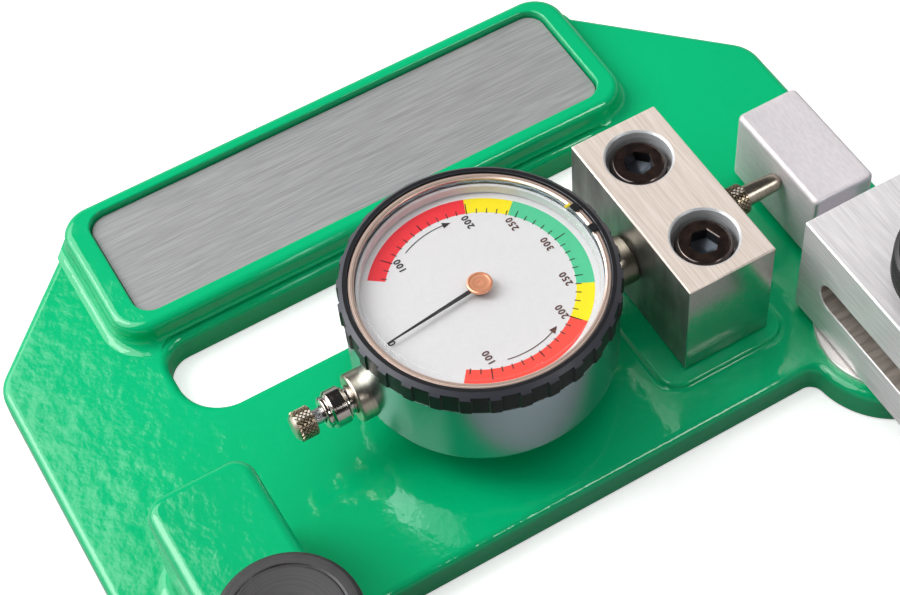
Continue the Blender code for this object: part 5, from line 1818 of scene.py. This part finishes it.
# %% [markdown]
# ## Floor and light
# The tool lies on a white table under soft light. The camera sees a white floor with the tool's
# shadow on it, but the floor throws only a little light back, so that the walls near it stay dark.
# The sky is brightest overhead and behind the tool, which leaves the walls that face the camera in
# half shade. Mirrors see a room instead: pale walls, a dark ceiling, a bright zone round the lamp
# and one small softbox. The lamp itself stands at the left and makes the long highlights on the
# enamel's rounded edges.

# %% Floor
floor_size = 3.0
floor_drop = 0.0001
floor_lift = 0.5
floor_seen = (0.9, 0.9, 0.9)
floor_bounce = (0.16, 0.16, 0.16)
floor_shares = (("Is Glossy Ray", 0.4), ("Is Transmission Ray", 1.0))

floor_build = bmesh.new()
bmesh.ops.create_grid(floor_build, x_segments=1, y_segments=1, size=floor_size)
floor = to_object("floor", floor_build, Matrix.Translation((0, 0, -floor_drop)))
floor_white = new_finish("floor_white", floor_seen, 0.7)
tree = floor_white.node_tree
paths = tree.nodes.new("ShaderNodeLightPath").outputs
shown = paths["Is Camera Ray"]
glow = shader_of(floor_white).inputs
glow["Emission Color"].default_value = (1, 1, 1, 1)
feed(tree, math_node(tree, "MULTIPLY", shown, floor_lift), glow["Emission Strength"])
for ray, share in floor_shares:
    shown = math_node(tree, "MULTIPLY_ADD", paths[ray], share, shown, clamp=True)
feed(tree, mix_colours(tree, shown, floor_bounce, floor_seen), glow["Base Color"])
floor.data.materials.append(floor_white)
print("floor:", floor_size * 2, "m square")

# %% World helpers
world = bpy.data.worlds.new("studio")
scene.world = world
world.use_nodes = True
tree = world.node_tree
direction = tree.nodes.new("ShaderNodeTexCoord").outputs["Generated"]


def soft_step(value, span, first, second):
    """Change softly from one strength to another."""
    made = tree.nodes.new("ShaderNodeMapRange")
    made.interpolation_type = "SMOOTHSTEP"
    for label, given in zip(("From Min", "From Max", "To Min", "To Max"),
                            (*span, first, second)):
        feed(tree, given, made.inputs[label])
    feed(tree, value, made.inputs["Value"])
    return made.outputs["Result"]


def toward(aim):
    """How nearly a ray points along a direction: 1 when it points right at it."""
    made = tree.nodes.new("ShaderNodeVectorMath")
    made.operation = "DOT_PRODUCT"
    made.inputs[1].default_value = aim
    feed(tree, direction, made.inputs[0])
    return made.outputs["Value"]


# %% World
sky_foot, sky_top, sky_lean = 0.04, 1.0, 0.7
room_walls, room_ceiling, room_lamp, room_softbox = 0.6, 0.03, 4.5, 10.0
wall_span = (0.10, 0.35)
lamp_span = (0.755, 0.82)
softbox_span = (0.984, 0.993)
softbox_direction = Vector((0.36, -0.64, 0.68)).normalized()
key_place = Vector((-0.62, 0.45, 0.74))

split = tree.nodes.new("ShaderNodeSeparateXYZ")
feed(tree, direction, split.inputs[0])
height, depth = split.outputs["Z"], split.outputs["Y"]
rays = tree.nodes.new("ShaderNodeLightPath").outputs
glossy = rays["Is Glossy Ray"]

room = math_node(tree, "ADD", soft_step(height, wall_span, room_walls, room_ceiling),
                 soft_step(toward(key_place.normalized()), lamp_span, 0.0, room_lamp))
room = soft_step(toward(softbox_direction), softbox_span, room, room_softbox)
lean = math_node(tree, "ADD", math_node(tree, "MULTIPLY", depth, sky_lean), 1.0)
sky = math_node(tree, "MULTIPLY", soft_step(height, (0.0, 1.0), sky_foot, sky_top), lean)
plain = math_node(tree, "MULTIPLY", math_node(tree, "SUBTRACT", 1.0, glossy), sky)
light = math_node(tree, "ADD", math_node(tree, "MULTIPLY", glossy, room), plain)
seen = math_node(tree, "MAXIMUM", rays["Is Camera Ray"], rays["Is Transmission Ray"])
background = tree.nodes["Background"].inputs
background["Color"].default_value = (1, 1, 1, 1)
feed(tree, math_node(tree, "MAXIMUM", seen, light), background["Strength"])
print("sky over the tool:", sky_top, "and at its foot:", sky_foot)

# %% Lamp
key_width, key_length, key_power = 0.4, 0.8, 7.0
key_data = bpy.data.lights.new("key", "AREA")
key_data.shape = "RECTANGLE"
key_data.size = key_width
key_data.size_y = key_length
key_data.energy = key_power
key = bpy.data.objects.new("key", key_data)
key.location = key_place
key.rotation_euler = (-key_place).to_track_quat("-Z", "Y").to_euler()
scene.collection.objects.link(key)
print("lamp:", round(key_place.length, 2), "m away")
